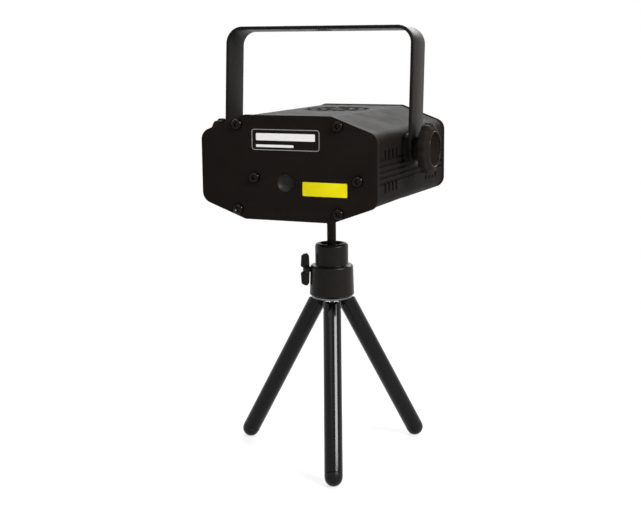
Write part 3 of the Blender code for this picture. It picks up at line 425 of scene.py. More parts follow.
def rod(start, end, radius, steps=40):
    """A round rod between two points."""
    bm = bmesh.new()
    along = Vector(end) - Vector(start)
    turn = along.to_track_quat("Z", "Y").to_matrix().to_4x4()
    spot = Matrix.Translation(Vector(start) + along / 2) @ turn
    bmesh.ops.create_cone(bm, cap_ends=True, segments=steps, radius1=radius, radius2=radius,
                          depth=along.length, matrix=spot)
    return bm


def block(centre, size, turn=0.0):
    """A box, turned about Z in degrees."""
    bm = bmesh.new()
    spot = Matrix.Translation(centre) @ Matrix.Rotation(math.radians(turn), 4, "Z")
    bmesh.ops.create_cube(bm, size=1.0, matrix=spot @ Matrix.Diagonal((*size, 1.0)))
    return bm


def moved(bm, at, *turns):
    """The shape, turned and then moved."""
    bmesh.ops.transform(bm, matrix=placing(at, turns), verts=bm.verts)
    return bm


def turned(bm, *turns):
    return moved(bm, (0, 0, 0), *turns)


def together(*shapes):
    """Several shapes as one; the others are used up."""
    whole = bmesh.new()
    for bm in shapes:
        mesh = as_mesh("part", bm)
        whole.from_mesh(mesh)
        bpy.data.meshes.remove(mesh)
    return whole


def combined(bm, tool, operation="DIFFERENCE"):
    """A Boolean of two shapes; both are used up."""
    holders = [linked("shape", as_mesh("shape", shape)) for shape in (bm, tool)]
    step = holders[0].modifiers.new("combine", "BOOLEAN")
    step.operation = operation
    step.object = holders[1]
    step.solver = "EXACT"
    made = evaluated(holders[0])
    for holder in holders:
        mesh = holder.data
        bpy.data.objects.remove(holder)
        bpy.data.meshes.remove(mesh)
    return closed(made)


def eased(bm, width, angle=40.0, segments=2):
    """Rounds every edge sharper than the angle."""
    sharp = [e for e in bm.edges if e.is_manifold and e.calc_face_angle(0.0) > math.radians(angle)]
    bmesh.ops.bevel(bm, geom=sharp, offset=width, segments=segments, profile=0.5, affect="EDGES",
                    clamp_overlap=True)
    return closed(bm)


def set_pieces(where, *rows):
    """Sets finished shapes on one seat, each on its CAD body, in the stead of the node that it stands for.

    A row is the piece's name, its shape, its finish and its body, then its node and slot where it has them.
    The slot is not used.
    """
    for name, bm, make, body, *claims in rows:
        if not bm.faces:
            raise RuntimeError(f"{name} came out empty")
        mesh = as_mesh(name, bm)
        mesh.transform(where)
        mesh.materials.append(made_once(make))
        mesh.shade_smooth()
        mesh.set_sharp_from_angle(angle=SHADE_ANGLE)
        piece = linked(name, mesh)
        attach(piece, body)
        if claims:
            node, slot = claims
            if node:
                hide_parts(node)


def dress(make, *nodes):
    """Gives CAD nodes that stay in view their finish."""
    for name in nodes:
        slots = frame["nodes"][name].data.materials
        slots.clear()
        slots.append(made_once(make))


# Materials

def add_node(tree, kind, inputs=None, **settings):
    """Adds one node with its settings; each input is a value or another node's output."""
    made = tree.nodes.new("ShaderNode" + kind)
    for key, value in settings.items():
        setattr(made, key, value)
    for key, value in (inputs or {}).items():
        if isinstance(value, bpy.types.NodeSocket):
            tree.links.new(value, made.inputs[key])
        else:
            made.inputs[key].default_value = value
    return made


def per_mm(size):
    """The texture scale that gives a pattern of that size in millimetres."""
    return 1.0 / (size * MM)


def start_material(**sockets):
    """A material, its tree, its shader with the uniform sockets set, and the place on the piece in metres."""
    material = bpy.data.materials.new("finish")
    material.use_nodes = True
    tree = material.node_tree
    shader = tree.nodes["Principled BSDF"]
    for key, value in sockets.items():
        shader.inputs[key.replace("_", " ")].default_value = value
    place = add_node(tree, "TexCoord").outputs["Object"]
    return material, tree, shader, place


def coated(tone, other, gloss, grain, relief, patch, stretch=(1.0, 1.0, 1.0), **sockets):
    """A finish whose tone and gloss drift over patches, with a fine grain standing in relief.

    gloss is the lowest and highest roughness; grain, relief and patch are in millimetres.
    """
    material, tree, shader, place = start_material(**sockets)
    run = add_node(tree, "Mapping", {"Vector": place, "Scale": stretch}).outputs[0]
    drift = add_node(tree, "TexNoise", {"Vector": run, "Scale": per_mm(patch), "Detail": 4.0})
    fine = add_node(tree, "TexNoise", {"Vector": run, "Scale": per_mm(grain), "Detail": 2.0})
    tint = add_node(tree, "Mix", {0: drift.outputs[0], 6: tone, 7: linear(other)}, data_type="RGBA")
    low, high = 0.3, 0.7  # most of the noise lies between these
    sheen = add_node(tree, "MapRange", {
        "Value": drift.outputs[0], "From Min": low, "From Max": high, "To Min": gloss[0], "To Max": gloss[1],
    })
    bump = add_node(tree, "Bump", {"Height": fine.outputs[0], "Distance": relief * MM})
    tree.links.new(tint.outputs[2], shader.inputs["Base Color"])
    tree.links.new(sheen.outputs[0], shader.inputs["Roughness"])
    tree.links.new(bump.outputs[0], shader.inputs["Normal"])
    return material


def powder_coated_aluminium():
    # Polyester powder on an extrusion: a dull black skin with a fine, even orange peel. The peel of
    # about 0.5 mm is drawn at 0.9 mm so that it shows.
    return coated(colours().powder, "171412", (0.42, 0.52), 0.9, 0.05, 14.0, Specular_IOR_Level=0.008)


def lacquered_panel():
    # Sprayed satin lacquer on flat sheet: a deep, smooth black with faint clouds of gloss.
    return coated(colours().panel, "1c1816", (0.4, 0.5), 0.6, 0.012, 22.0, Specular_IOR_Level=0.012)


def enamelled_strip():
    # Stove enamel over rolled steel strip: satin, with faint long streaks from the rolling.
    return coated(colours().enamel, "1d1a18", (0.3, 0.4), 0.7, 0.012, 5.0,
                  (1.0, 1.0, 0.25), Specular_IOR_Level=0.035)


def moulded_abs():
    # Injection-moulded ABS from a spark-eroded tool: a soft sheen broken by a fine pebble. The pebble of
    # about 0.4 mm is drawn at 0.7 mm so that it shows.
    return coated(colours().plastic, "151210", (0.24, 0.31), 0.7, 0.02, 9.0, Specular_IOR_Level=0.12)


def filled_nylon():
    # Glass-filled nylon: dull, with a faint mottle where the fibres lie near the skin.
    return coated(colours().nylon, "1e1b18", (0.4, 0.55), 0.8, 0.03, 4.0, Specular_IOR_Level=0.008)


def lacquered_tube():
    # Drawn steel tube dipped in gloss lacquer: a clear narrow highlight with a slight ripple along the tube.
    return coated(colours().tube, "080707", (0.1, 0.13), 4.0, 0.002, 12.0, Specular_IOR_Level=0.165)


def moulded_rubber():
    # Moulded nitrile rubber: dull, a little dusty, with no clear highlight.
    return coated(colours().rubber, "1b1816", (0.6, 0.75), 0.6, 0.03, 3.0, Specular_IOR_Level=0.03)


def glossy_rubber():
    # Dipped rubber cap: black with a soft clear sheen, slightly uneven from the dipping.
    return coated(colours().cap, "12100f", (0.2, 0.28), 1.8, 0.01, 5.0, Specular_IOR_Level=0.14)


def blackened_steel():
    # Machined steel with a thin black oxide: dark metal that still glints along its edges.
    return coated(colours().screw, "1c1a19", (0.1, 0.16), 0.5, 0.008, 1.6, Metallic=1.0)


def chromed_steel():
    # Chromium plate on pressed steel: a mirror with a trace of polishing haze. Its tone is set darker than
    # bright chrome, as painted shade for the ring in the shade of the hub.
    return coated(colours().chrome, "636467", (0.07, 0.16), 0.8, 0.004, 4.0, Metallic=1.0)


def milled_aluminium():
    # Bare milled aluminium: pale metal with fine cutter lines along one way.
    return coated(linear("b9babc"), "a4a5a8", (0.3, 0.42), 0.5, 0.01, 6.0, (1.0, 0.2, 1.0), Metallic=1.0)


def smoked_glass():
    # Ground filter glass: nearly black, with a soft sheen in its hollow and a faint bloom from its coating.
    return coated(linear("1f1d1b"), "252220", (0.42, 0.5), 3.0, 0.002, 6.0, IOR=1.52, Specular_IOR_Level=0.13)


def ruled_acrylic():
    # Cast acrylic disc with ruled lines: clear, with a fine lattice of about 0.2 mm drawn at 0.6 mm.
    material, tree, shader, place = start_material(IOR=1.49, Transmission_Weight=0.9)
    ruling = {"Vector": place, "Scale": per_mm(0.6) / math.tau}
    lines, cross = (add_node(tree, "TexWave", ruling, bands_direction=way) for way in "XZ")
    lattice = add_node(tree, "Math", {0: lines.outputs[1], 1: cross.outputs[1]}, operation="ADD")
    haze = add_node(tree, "MapRange", {
        "Value": lattice.outputs[0], "From Max": 2.0, "To Min": 0.04, "To Max": 0.16,
    })
    bump = add_node(tree, "Bump", {"Height": lattice.outputs[0], "Distance": 0.02 * MM})
    shader.inputs["Base Color"].default_value = linear("cfe0e6")
    tree.links.new(haze.outputs[0], shader.inputs["Roughness"])
    tree.links.new(bump.outputs[0], shader.inputs["Normal"])
    return material


def glass_epoxy_board():
    # Green solder mask over copper: a slight gloss with paler raised tracks about 1.2 mm apart.
    material, tree, shader, place = start_material(Specular_IOR_Level=0.4, Roughness=0.4)
    tracks = add_node(tree, "TexBrick", {
        "Vector": place, "Scale": per_mm(4.8), "Mortar Size": 0.04, "Color1": linear("0f3a1f"),
        "Color2": linear("12422a"), "Mortar": linear("2a6a40"),
    })
    bump = add_node(tree, "Bump", {"Height": tracks.outputs[1], "Distance": 0.05 * MM})
    tree.links.new(tracks.outputs[0], shader.inputs["Base Color"])
    tree.links.new(bump.outputs[0], shader.inputs["Normal"])
    return material


def pad_print(tone, other):
    # Pad-printed ink: thin, flat and even, with slight pinholes.
    return coated(tone, other, (0.45, 0.55), 0.5, 0.01, 1.2, Specular_IOR_Level=0.2)


def printed_grey():
    # The frame's ink, a dull mid grey.
    return pad_print(colours().print_ink, "7d7b7a")


def printed_white():
    # The ink of the bars and of the dial's mark, a white that covers well.
    return pad_print(colours().print_white, "d9d8d5")


def yellow_vinyl():
    # Calendered vinyl film: an even yellow with a soft sheen and a slight waviness over the plate.
    return coated(colours().sticker, "ded110", (0.36, 0.46), 2.0, 0.01, 9.0, Specular_IOR_Level=0.08)


MATERIALS = {}


def made_once(make):
    """The maker's material, which is named for it."""
    if make not in MATERIALS:
        MATERIALS[make] = make()
        MATERIALS[make].name = make.__name__
    return MATERIALS[make]


# Pieces of the projector

def shell_section():
    """The extrusion's outer section with its side grooves, and its inner one."""
    corners = octagon(SHELL_INSET)
    face = BODY_W / 2 - SHELL_INSET
    top = GROOVE_Z + GROOVE_PITCH * (GROOVE_COUNT - 1) / 2
    floor = GROOVE_W * 0.25
    grooves = []
    for i in range(GROOVE_COUNT):
        z = top - i * GROOVE_PITCH
        steps = ((0.0, GROOVE_W / 2), (GROOVE_DEPTH, floor), (GROOVE_DEPTH, -floor), (0.0, -GROOVE_W / 2))
        grooves += [(face - depth, z + rise, 0.0) for depth, rise in steps]
    other = [(-x, z, r) for x, z, r in reversed(grooves)]
    outer = rounded(corners[:2] + grooves + corners[2:6] + other + corners[6:])
    inner = [(x, z, INNER_CORNER_R) for x, z, _ in octagon(SHELL_INSET + SHELL_WALL)]
    return outer, rounded(inner)


def ring_slot(radius, middle, width, reach, steps=6):
    """A slot that follows a ring, with its ends square to it."""
    half = math.degrees(reach / 2 / radius)
    outer = arc((0, 0), radius + width / 2, middle - half, middle + half, steps)
    return outer + arc((0, 0), radius - width / 2, middle + half, middle - half, steps)


def grille_slots(width, reach):
    return [
        ring_slot(radius, 360.0 * i / count, width, reach)
        for radius, count in GRILLE for i in range(count)
    ]


class PROJECTOR_OT_housing(bpy.types.Operator):
    """Makes the extruded housing with its side slots and the raised louvres of its top"""

    bl_idname = "projector.housing"
    bl_label = "Housing"

    def execute(self, context):
        s = sizes()
        shell = turned(drawn(shell_section(), SHELL_D), (90, "X"))
        end_r = SLOT_SIZE[0] / 2 - 0.01  # just short of half, so that the ends keep a flat
        side = [
            panel((start - BODY_D / 2 + i * SLOT_PITCH, GROOVE_Z + row * SLOT_ROW), *SLOT_SIZE, end_r)
            for start in SLOT_STARTS for i in range(SLOT_COUNT) for row in (-1, 1)
        ]
        slots = turned(together(*(drawn([o], BODY_W + 10) for o in side)), (90, "Z"), (90, "X"))
        shell = combined(shell, slots)
        cuts = [drawn([o], SHELL_WALL * 4) for o in grille_slots(*GRILLE_SLOT)]
        shell = combined(shell, moved(together(*cuts), (0, GRILLE_Y, BODY_H / 2)))
        pivot = YOKE_AT - BODY_AT
        bolts = rod((-BODY_W, pivot.y, pivot.z), (BODY_W, pivot.y, pivot.z), BOLT_R + GAP, 32)
        stud = rod((0, -BODY_AT.y, -BODY_H), (0, -BODY_AT.y, -BODY_H / 4), BUSH_R + GAP / 2, 48)
        shell = combined(combined(shell, bolts), stud)
        lip = mm(s.louvre_lip)
        wide = grille_slots(GRILLE_SLOT[0] + 2 * lip, GRILLE_SLOT[1] + 2 * lip)
        rise = mm(s.louvre_rise)
        lips = [
            drawn([outer, inner], rise, min(lip, rise) * 0.4)
            for outer, inner in zip(wide, grille_slots(*GRILLE_SLOT))
        ]
        top = BODY_H / 2 - SHELL_INSET + rise / 2 - HAIR
        louvres = moved(together(*lips), (0, GRILLE_Y, top))
        set_pieces(
            BODY_SEAT,
            ("housing_shell", shell, powder_coated_aluminium, "projector", "housing", "black_painted_metal"),
            ("top_louvres", louvres, powder_coated_aluminium, "projector", None, "black_painted_metal"),
        )
        return {"FINISHED"}


class PROJECTOR_OT_end_plates(bpy.types.Operator):
    """Makes the front and rear plates with their openings and rounded edges"""

    bl_idname = "projector.end_plates"
    bl_label = "End plates"

    def execute(self, context):
        edge = mm(sizes().plate_edge)
        outline = rounded(octagon(0.0))
        corners = [circle(spot, SCREW_R + GAP, 24) for spot in SCREW_SPOTS.values()]
        mids = [circle(spot, SCREW_R + GAP, 24) for spot in MID_SPOTS.values()]
        front = drawn([outline, circle(APERTURE, APERTURE_R, 64), *corners, *mids], PLATE_T, edge, 3)
        front = moved(front, (0, 0, -PLATE_T / 2))
        openings = [
            circle(JACK, JACK_HOLE_R), circle(SPEED, SPEED_HOLE_R), circle(MIC, MIC_HOLE_R, 24),
            panel(SWITCH, *SWITCH_SLOT),
        ]
        holes = together(*(drawn([hole], PLATE_T * 2) for hole in (*corners, *openings)))
        rear = eased(combined(drawn([outline], PLATE_T, PLATE_T * 0.45, 4), holes), 0.2, 60.0)
        rear = moved(rear, (0, 0, -PLATE_T / 2), (180, "X"))
        for where, name, shape, node in (
            (FRONT_SEAT, "front_panel", front, "front_plate"),
            (REAR_SEAT, "rear_panel", rear, "rear_plate"),
        ):
            set_pieces(where, (name, shape, lacquered_panel, "projector", node, "front_panel_black"))
        return {"FINISHED"}


def pan_head(reach):
    """A pan-head screw with a cross recess, its seat at height 0."""
    s = sizes()
    radius, rise = mm(s.head_radius), mm(s.head_rise)
    dome, round_r = radius * 2.2, 1.4
    meet = (radius - round_r) / (1.0 - round_r / dome)  # where the dome runs into its rounded shoulder
    crown = math.degrees(math.asin(meet / dome))
    profile = [(0.0, rise)]
    profile += [(x, z + rise - dome) for x, z in arc((0, 0), dome, 90 - crown * 0.15, 90 - crown, 5)]
    slope = math.radians(crown)
    centre = (radius - round_r, profile[-1][1] - round_r * math.cos(slope))
    profile += arc(centre, round_r, 90 - crown, 0, 6)[1:] + [(radius, 0.0)]
    profile += [(SCREW_R, 0.0), (SCREW_R, -reach), (0.0, -reach)]
    head = lathe(profile, 48)
    half, width = mm(s.recess_reach) / 2, mm(s.recess_width)
    depth = rise * 0.62
    foot, mouth = half * 0.45, rise + 0.4
    blade = [(foot, rise - depth), (half, mouth), (-half, mouth), (-foot, rise - depth)]
    blades = [turned(drawn([blade], width), (turn, "Z"), (90, "X")) for turn in (45.0, 135.0)]
    return eased(combined(head, combined(*blades, "UNION")), 0.1, 50.0, 1)


class PROJECTOR_OT_screws(bpy.types.Operator):
    """Makes the cross-recessed pan-head screws of both end plates"""

    bl_idname = "projector.screws"
    bl_label = "Screws"

    def execute(self, context):
        rows = (
            ("front_screw_", FRONT_SEAT, SCREW_SPOTS, 1, CORNER_SCREW_L),
            ("front_screw_", FRONT_SEAT, MID_SPOTS, 1, MID_SCREW_L),
            ("rear_screw_", REAR_SEAT, SCREW_SPOTS, -1, CORNER_SCREW_L),
        )
        for i, (prefix, where, spots, flip, reach) in enumerate(rows):
            for k, (word, (x, z)) in enumerate(spots.items()):
                stop = 23.0 * (k + 1) + 11.0 * i  # each head came to rest at its own angle
                screw = moved(pan_head(reach), (x, z * flip, 0), (stop, "Z"))
                node = prefix + word
                set_pieces(where, (node + "_head", screw, blackened_steel, "projector", node, "dark_steel"))
        return {"FINISHED"}


class PROJECTOR_OT_light_outlet(bpy.types.Operator):
    """Makes the hollow window of the light outlet and finishes the pieces inside the housing"""

    bl_idname = "projector.light_outlet"
    bl_label = "Light outlet"

    def execute(self, context):
        hollow, rim, clear = 3.2, -0.15, 0.15
        lens_r = APERTURE_R - clear
        bowl = (lens_r ** 2 + hollow ** 2) / (2 * hollow)
        edge = math.degrees(math.asin(lens_r / bowl))
        profile = [(0.0, rim - hollow)]
        profile += arc((0.0, rim - hollow + bowl), bowl, edge * 0.06 - 90, edge - 90, 10)
        flange = -PLATE_T - GAP
        back = flange - WINDOW_T
        profile += [(lens_r, flange), (WINDOW_R, flange), (WINDOW_R, back), (0.0, back)]
        window = moved(lathe(profile), (*APERTURE, 0))
        set_pieces(
            FRONT_SEAT, ("outlet_window", window, smoked_glass, "projector", "aperture_window", "glass"),
        )
        dress(milled_aluminium, "optics_bracket", "green_laser", "red_laser", "microphone")
        dress(blackened_steel, "grating_motor", "left_pivot_nut", "right_pivot_nut")
        dress(smoked_glass, "beam_combiner")
        dress(ruled_acrylic, "grating_wheel")
        dress(moulded_abs, "fan_frame", "fan_rotor", "mode_switch")
        dress(glass_epoxy_board, "driver_board")
        return {"FINISHED"}


class PROJECTOR_OT_front_marks(bpy.types.Operator):
    """Makes the blank printed frame, its plain bars and the blank yellow sticker on the front plate"""

    bl_idname = "projector.front_marks"
    bl_label = "Front marks"

    def execute(self, context):
        s = sizes()
        line = mm(s.print_line)
        wide, high = FRAME_SIZE
        outer = panel(FRAME_AT, wide, high, FRAME_R)
        inner = panel(FRAME_AT, wide - 2 * line, high - 2 * line, FRAME_R - line)
        bars = together(*(drawn([panel(*bar)], INK_T) for bar in BARS))
        film = [panel(STICKER_AT, mm(s.sticker_width), mm(s.sticker_height), STICKER_R)]
        film = drawn(film, STICKER_T, STICKER_EDGE)
        for name, shape, thickness, make in (
            ("printed_frame", drawn([outer, inner], INK_T), INK_T, printed_grey),
            ("printed_bars", bars, INK_T, printed_white),
            ("blank_sticker", film, STICKER_T, yellow_vinyl),
        ):
            set_pieces(FRONT_SEAT, (name, moved(shape, (0, 0, thickness / 2)), make, "projector"))
        return {"FINISHED"}


class PROJECTOR_OT_yoke(bpy.types.Operator):
    """Makes the bent strip yoke with its round ends and hanging hole"""

    bl_idname = "projector.yoke"
    bl_label = "Yoke"

    def execute(self, context):
        half_t = YOKE_T / 2
        side = YOKE_SPAN / 2 - half_t
        top = YOKE_RISE - half_t
        bend, bend_steps = YOKE_BEND_R - half_t, 14
        half_w = YOKE_W / 2
        # A station is across, up, half the strip's width and the way that its outer face looks
        ends = [math.radians(a) for a in (4, 10, 18, 27, 36, 45, 55, 65, 75, 85)]
        arm = [(-side, -half_w * math.cos(t), half_w * math.sin(t), 180.0) for t in ends]
        arm += [(-side, z, half_w, 180.0) for z in (4.0, 20.0, 40.0)]
        corner = [
            (x, z, half_w, 180.0 - 90.0 * i / bend_steps)
            for i, (x, z) in enumerate(arc((-side + bend, top - bend), bend, 180, 90, bend_steps))
        ]
        left = arm + corner + [(-30.0, top, half_w, 90.0)]
        right = [(-x, z, w, 180.0 - a) for x, z, w, a in reversed(left)]
        stations = left + [(0.0, top, half_w, 90.0)] + right
        rings = []
        for x, z, width, angle in stations:
            out = (math.cos(math.radians(angle)), math.sin(math.radians(angle)))
            edge = min(mm(sizes().strip_edge), width * 0.8, half_t * 0.8)
            section = panel((0, 0), 2 * width, YOKE_T, edge, 3)
            rings.append([(x + out[0] * n, y, z + out[1] * n) for y, n in section])
        holes = together(
            rod((0, 0, YOKE_RISE - 8), (0, 0, YOKE_RISE + 8), YOKE_HOLE_R),
            rod((-YOKE_SPAN, 0, 0), (YOKE_SPAN, 0, 0), BOLT_R + GAP),
        )
        strip = combined(loft(rings), holes)
        set_pieces(YOKE_SEAT, ("yoke_strip", strip, enamelled_strip, "yoke", "yoke", "black_painted_metal"))
        return {"FINISHED"}


def lobed(radius, depth, count, height, steps=12):
    """A ring with shallow hollows in its edge."""
    points = []
    for i in range(count * steps):
        turn = math.tau * i / (count * steps)
        reach = radius - depth * (0.5 - 0.5 * math.cos(turn * count)) ** 1.5
        points.append((reach * math.cos(turn), reach * math.sin(turn), height))
    return points


class PROJECTOR_OT_knobs(bpy.types.Operator):
    """Makes the fluted clamp knobs with their bolts and the spacers behind the yoke's arms"""

    bl_idname = "projector.knobs"
    bl_label = "Clamp knobs"

    def execute(self, context):
        s = sizes()
        r, depth, count = mm(s.knob_radius), mm(s.flute_depth), s.flutes
        # Radius, flute depth and height over the yoke's arm, from the shank round the rim into the dish
        levels = [
            (6.9, 0.0, 0.05), (7.2, 0.0, 0.35), (7.2, 0.0, 4.3), (7.8, 0.0, 4.75),
            (r - 3.2, depth * 0.4, 4.85), (r - 0.9, depth * 0.85, 5.0), (r - 0.25, depth, 5.35),
            (r, depth, 5.9), (r, depth, 8.8), (r - 0.25, depth, 9.35), (r - 0.8, depth * 0.9, 9.75),
            (13.6, depth * 0.5, 10.3), (12.5, 0.0, 10.9), (11.7, 0.0, 11.3), (11.1, 0.0, 11.5),
            (10.6, 0.0, 11.4), (10.3, 0.0, 11.0), (9.4, 0.0, 9.2), (8.4, 0.0, 7.3), (7.9, 0.0, 6.6),
            (7.2, 0.0, 6.3), (4.7, 0.0, 6.3), (4.4, 0.0, 6.0), (4.2, 0.0, 4.4), (2.0, 0.0, 4.2),
        ]
        beads = [circle((10.5, KNOB_SEAT + 11.3), 0.3, 12), circle((4.6, KNOB_SEAT + 6.2), 0.28, 12)]
        inner, outer, edge = BODY_W / 2 - SHELL_INSET, KNOB_SEAT - YOKE_T - 2 * HAIR, 0.5
        bore, face = BOLT_R + GAP, SPACER_R - edge
        ring = [
            (bore, outer), (face, outer), (SPACER_R, outer - edge), (SPACER_R, inner + edge), (face, inner),
            (bore, inner),
        ]
        for side, word in ((-1, "left"), (1, "right")):
            body = word + "_knob"
            rings = [lobed(radius, cut, count, KNOB_SEAT + rise) for radius, cut, rise in levels]
            shine = together(*(lathe(bead, 72, True) for bead in beads))
            bolt = threaded(BOLT_R, BOLT_END, KNOB_SEAT + 0.5, mm(s.thread_pitch))
            spacer = lathe(ring, 56, True)
            set_pieces(
                knob_seat(side),
                (word + "_clamp_knob", loft(rings), filled_nylon, body, body, "black_plastic"),
                (word + "_clamp_knob_beads", shine, moulded_abs, body, None, "black_plastic"),
                (word + "_clamp_bolt", bolt, blackened_steel, body, body + "_bolt", "dark_steel"),
                (word + "_rubber_spacer", spacer, moulded_rubber, "projector", word + "_spacer", "rubber"),
            )
        return {"FINISHED"}


def threaded(radius, low, high, pitch, steps=32):
    """A rod with rings of thread along it."""
    depth = pitch * 0.45
    count = int((high - low) / pitch)
    profile = [(0.0, high), (radius - depth, high)]
    for i in range(count):
        z = high - pitch * i
        profile += [(radius, z - pitch * 0.5), (radius - depth, z - pitch)]
    profile += [(radius - depth, low), (0.0, low)]
    return lathe(profile, steps)


class PROJECTOR_OT_rear_controls(bpy.types.Operator):
    """Makes the power inlet, the mode slider, the speed knob and its shaft"""

    bl_idname = "projector.rear_controls"
    bl_label = "Rear controls"

    def execute(self, context):
        # Turned profiles are (radius, height over the plate)
        jack = [
            (0.0, 0.6), (0.7, 0.6), (1.0, 0.3), (1.0, -7.5), (3.1, -7.5), (3.1, 1.1), (3.4, 1.4), (5.5, 1.4),
            (6.0, 0.9), (6.0, 0.0), (4.6, 0.0), (4.6, -12.0), (0.0, -12.0),
        ]
        inlet = moved(lathe(jack), (JACK[0], -JACK[1], 0))
        # Three notches across the slider's cap
        top, root, foot, half = 2.9, 2.4, -6.0, 1.6
        teeth = [(-half, foot), (-half, top)]
        for x in (-1.0, 0.0, 1.0):
            teeth += [(x - 0.45, top), (x - 0.2, root), (x + 0.2, root), (x + 0.45, top)]
        teeth += [(half, top), (half, foot)]
        slider = moved(drawn([teeth], 3.4, 0.15), (SWITCH[0], -SWITCH[1], 0), (90, "X"))
        shaft = [(0.0, 6.8), (2.6, 6.8), (3.0, 6.4), (3.0, -3.3), (8.0, -3.3), (8.0, -12.3), (0.0, -12.3)]
        spot = (SPEED[0], -SPEED[1], 0)
        shaft = moved(lathe(shaft, 40), spot)
        levels = [
            (6.9, 0.4, 0.9), (7.5, 0.5, 1.3), (7.3, 0.5, 8.6), (6.9, 0.4, 9.4), (6.2, 0.0, 9.8),
            (3.0, 0.0, 9.75),
        ]
        flutes, bore, dial_top = 12, 3.35, 9.82
        dial = loft([lobed(radius, cut, flutes, rise, 8) for radius, cut, rise in levels])
        dial = combined(dial, rod((0, 0, -1), (0, 0, 7.0), bore))
        mark = moved(drawn([panel((0, 4.2), 0.9, 4.2, 0.4)], 0.08), (spot[0], spot[1], dial_top))
        set_pieces(
            REAR_SEAT,
            ("power_inlet", inlet, moulded_abs, "projector", "dc_jack", "black_plastic"),
            ("mode_slider_cap", slider, moulded_abs, "mode_slider", "mode_slider", "black_plastic"),
            ("speed_shaft", shaft, blackened_steel, "projector", "speed_control", "dark_steel"),
            ("speed_dial", moved(dial, spot), moulded_abs, "speed_knob", "speed_knob", "black_plastic"),
            ("speed_dial_mark", mark, printed_white, "speed_knob"),
        )
        return {"FINISHED"}


# Pieces of the tripod

class PROJECTOR_OT_tripod_head(bpy.types.Operator):
    """Makes the ball stud, its socket, the hub, the bush over it and the bright ring with its lugs"""

    bl_idname = "projector.tripod_head"
    bl_label = "Tripod head"

    def execute(self, context):
        set_pieces(
            HEAD_SEAT,
            ("clamp_socket", self.socket(), moulded_abs, "tripod_base", "ball_socket", "black_plastic"),
            ("hub_moulding", self.hub(), moulded_abs, "tripod_base", "leg_hub", "black_plastic"),
            ("ball_and_stem", self.stud(), enamelled_strip, "ball", "ball_stud", "dark_steel"),
            ("bright_ring", self.ring(), chromed_steel, "tripod_base", "leg_bracket", "chrome"),
            ("stud_bush", self.bush(), moulded_abs, "projector", "tripod_bush", "black_plastic"),
        )
        dress(moulded_abs, "ball_seat")
        return {"FINISHED"}

    def bush(self):
        points = [
            (BUSH_R, BUSH_L), (BUSH_R, 0.0), (7.5, 0.0), (7.5, -0.7), (7.0, -1.2), (3.6, -1.2), (3.3, -0.9),
            (3.3, BUSH_L),
        ]
        return lathe([(r, SHELL_LOW.z + z) for r, z in points], 56, True)

    def socket(self):
        top, low = SOCKET_HIGH.z + 0.9, SOCKET_LOW.z - GAP
        radius, mouth, pocket = SOCKET_HIGH.x, 7.6, 6.5
        rim, fillet, lip_rise = 1.9, 0.5, 3.6
        profile = [(mouth + 0.4, top), *arc((radius - rim, top - rim), rim, 90, 0, 8)]
        profile += arc((radius + fillet, low + fillet), fillet, 180, 270, 5)
        profile += [(SEAT_BORE_R, low), (SEAT_BORE_R, BALL_AT.z - 1.2)]
        lip = math.degrees(math.asin(lip_rise / pocket))
        profile += arc((0, BALL_AT.z), pocket, 0, lip, 6) + [(mouth, top - 0.5)]
        return lathe(profile, 72, True)

    def hub(self):
        top, low = HUB_HIGH.z, HUB_LOW.z
        radius, rim = HUB_HIGH.x, 1.6
        shoulder = radius - 0.6
        profile = [(0.0, HUB_FLOOR_Z), (SEAT_BORE_R, HUB_FLOOR_Z), (SEAT_BORE_R, top)]
        profile += arc((shoulder - rim, top - rim), rim, 90, 4, 8)
        profile += [(radius - 0.1, low + 2.0), (radius, low + 0.8), (radius - 0.7, low), (0.0, low)]
        hub = lathe(profile, 80)
        out = Vector((LOCK_AXIS.x, LOCK_AXIS.y, 0.0))
        lift = Vector((0, 0, LOCK_AT.z))
        return combined(hub, rod(out * 5 + lift, out * 20 + lift, LOCK_BORE_R))

    def stud(self):
        stem, ball = 2.85, 6.2
        crest, root, pitch, turns = 3.0, 2.65, 0.75, 8
        base = SHELL_LOW.z
        end = base + 7.5
        neck = math.degrees(math.acos(stem / ball))
        profile = [(0.0, end), (crest - 0.4, end), (crest, end - 0.4)]
        for i in range(turns):
            z = base + 6.6 - i * pitch
            profile += [(root, z), (crest, z - pitch / 2)]
        profile += [(2.9, base + 0.3), (stem, base - 0.5)]
        profile += [(x, z + BALL_AT.z) for x, z in arc((0, 0), ball, neck, -85, 24)]
        profile += [(0.0, BALL_AT.z - ball)]
        return lathe(profile, 56)

    def ring(self):
        top = node_box("leg_bracket")[1].z
        under = top - RING_T
        bore, edge = 3.0, 0.3
        face = RING_R - edge
        profile = [(bore, top), (face, top), (RING_R, top - edge), (RING_R, under + edge), (face, under)]
        ring = lathe(profile + [(bore, under)], 72, True)
        pin = LEG_AT["front"]
        reach = math.hypot(pin.x, pin.y)
        rise = under + RING_T / 2 - pin.z
        shoulder = reach + 0.6
        side = [(reach - LUG_R, rise), (shoulder, rise)]
        side += [(reach + x, z) for x, z in arc((0, 0), LUG_R, 0, -180, 24) if reach + x < shoulder]
        for word in LEGS:
            lug = moved(drawn([side], LUG_T), (0, 0, pin.z), (leg_heading(word), "Z"), (90, "X"))
            ring = combined(ring, lug, "UNION")
            along = Vector((-LEG_AT[word].y, LEG_AT[word].x, 0.0)).normalized() * LUG_T
            ring = combined(ring, rod(LEG_AT[word] - along, LEG_AT[word] + along, PIN_R + 2 * HAIR, 32))
        return ring


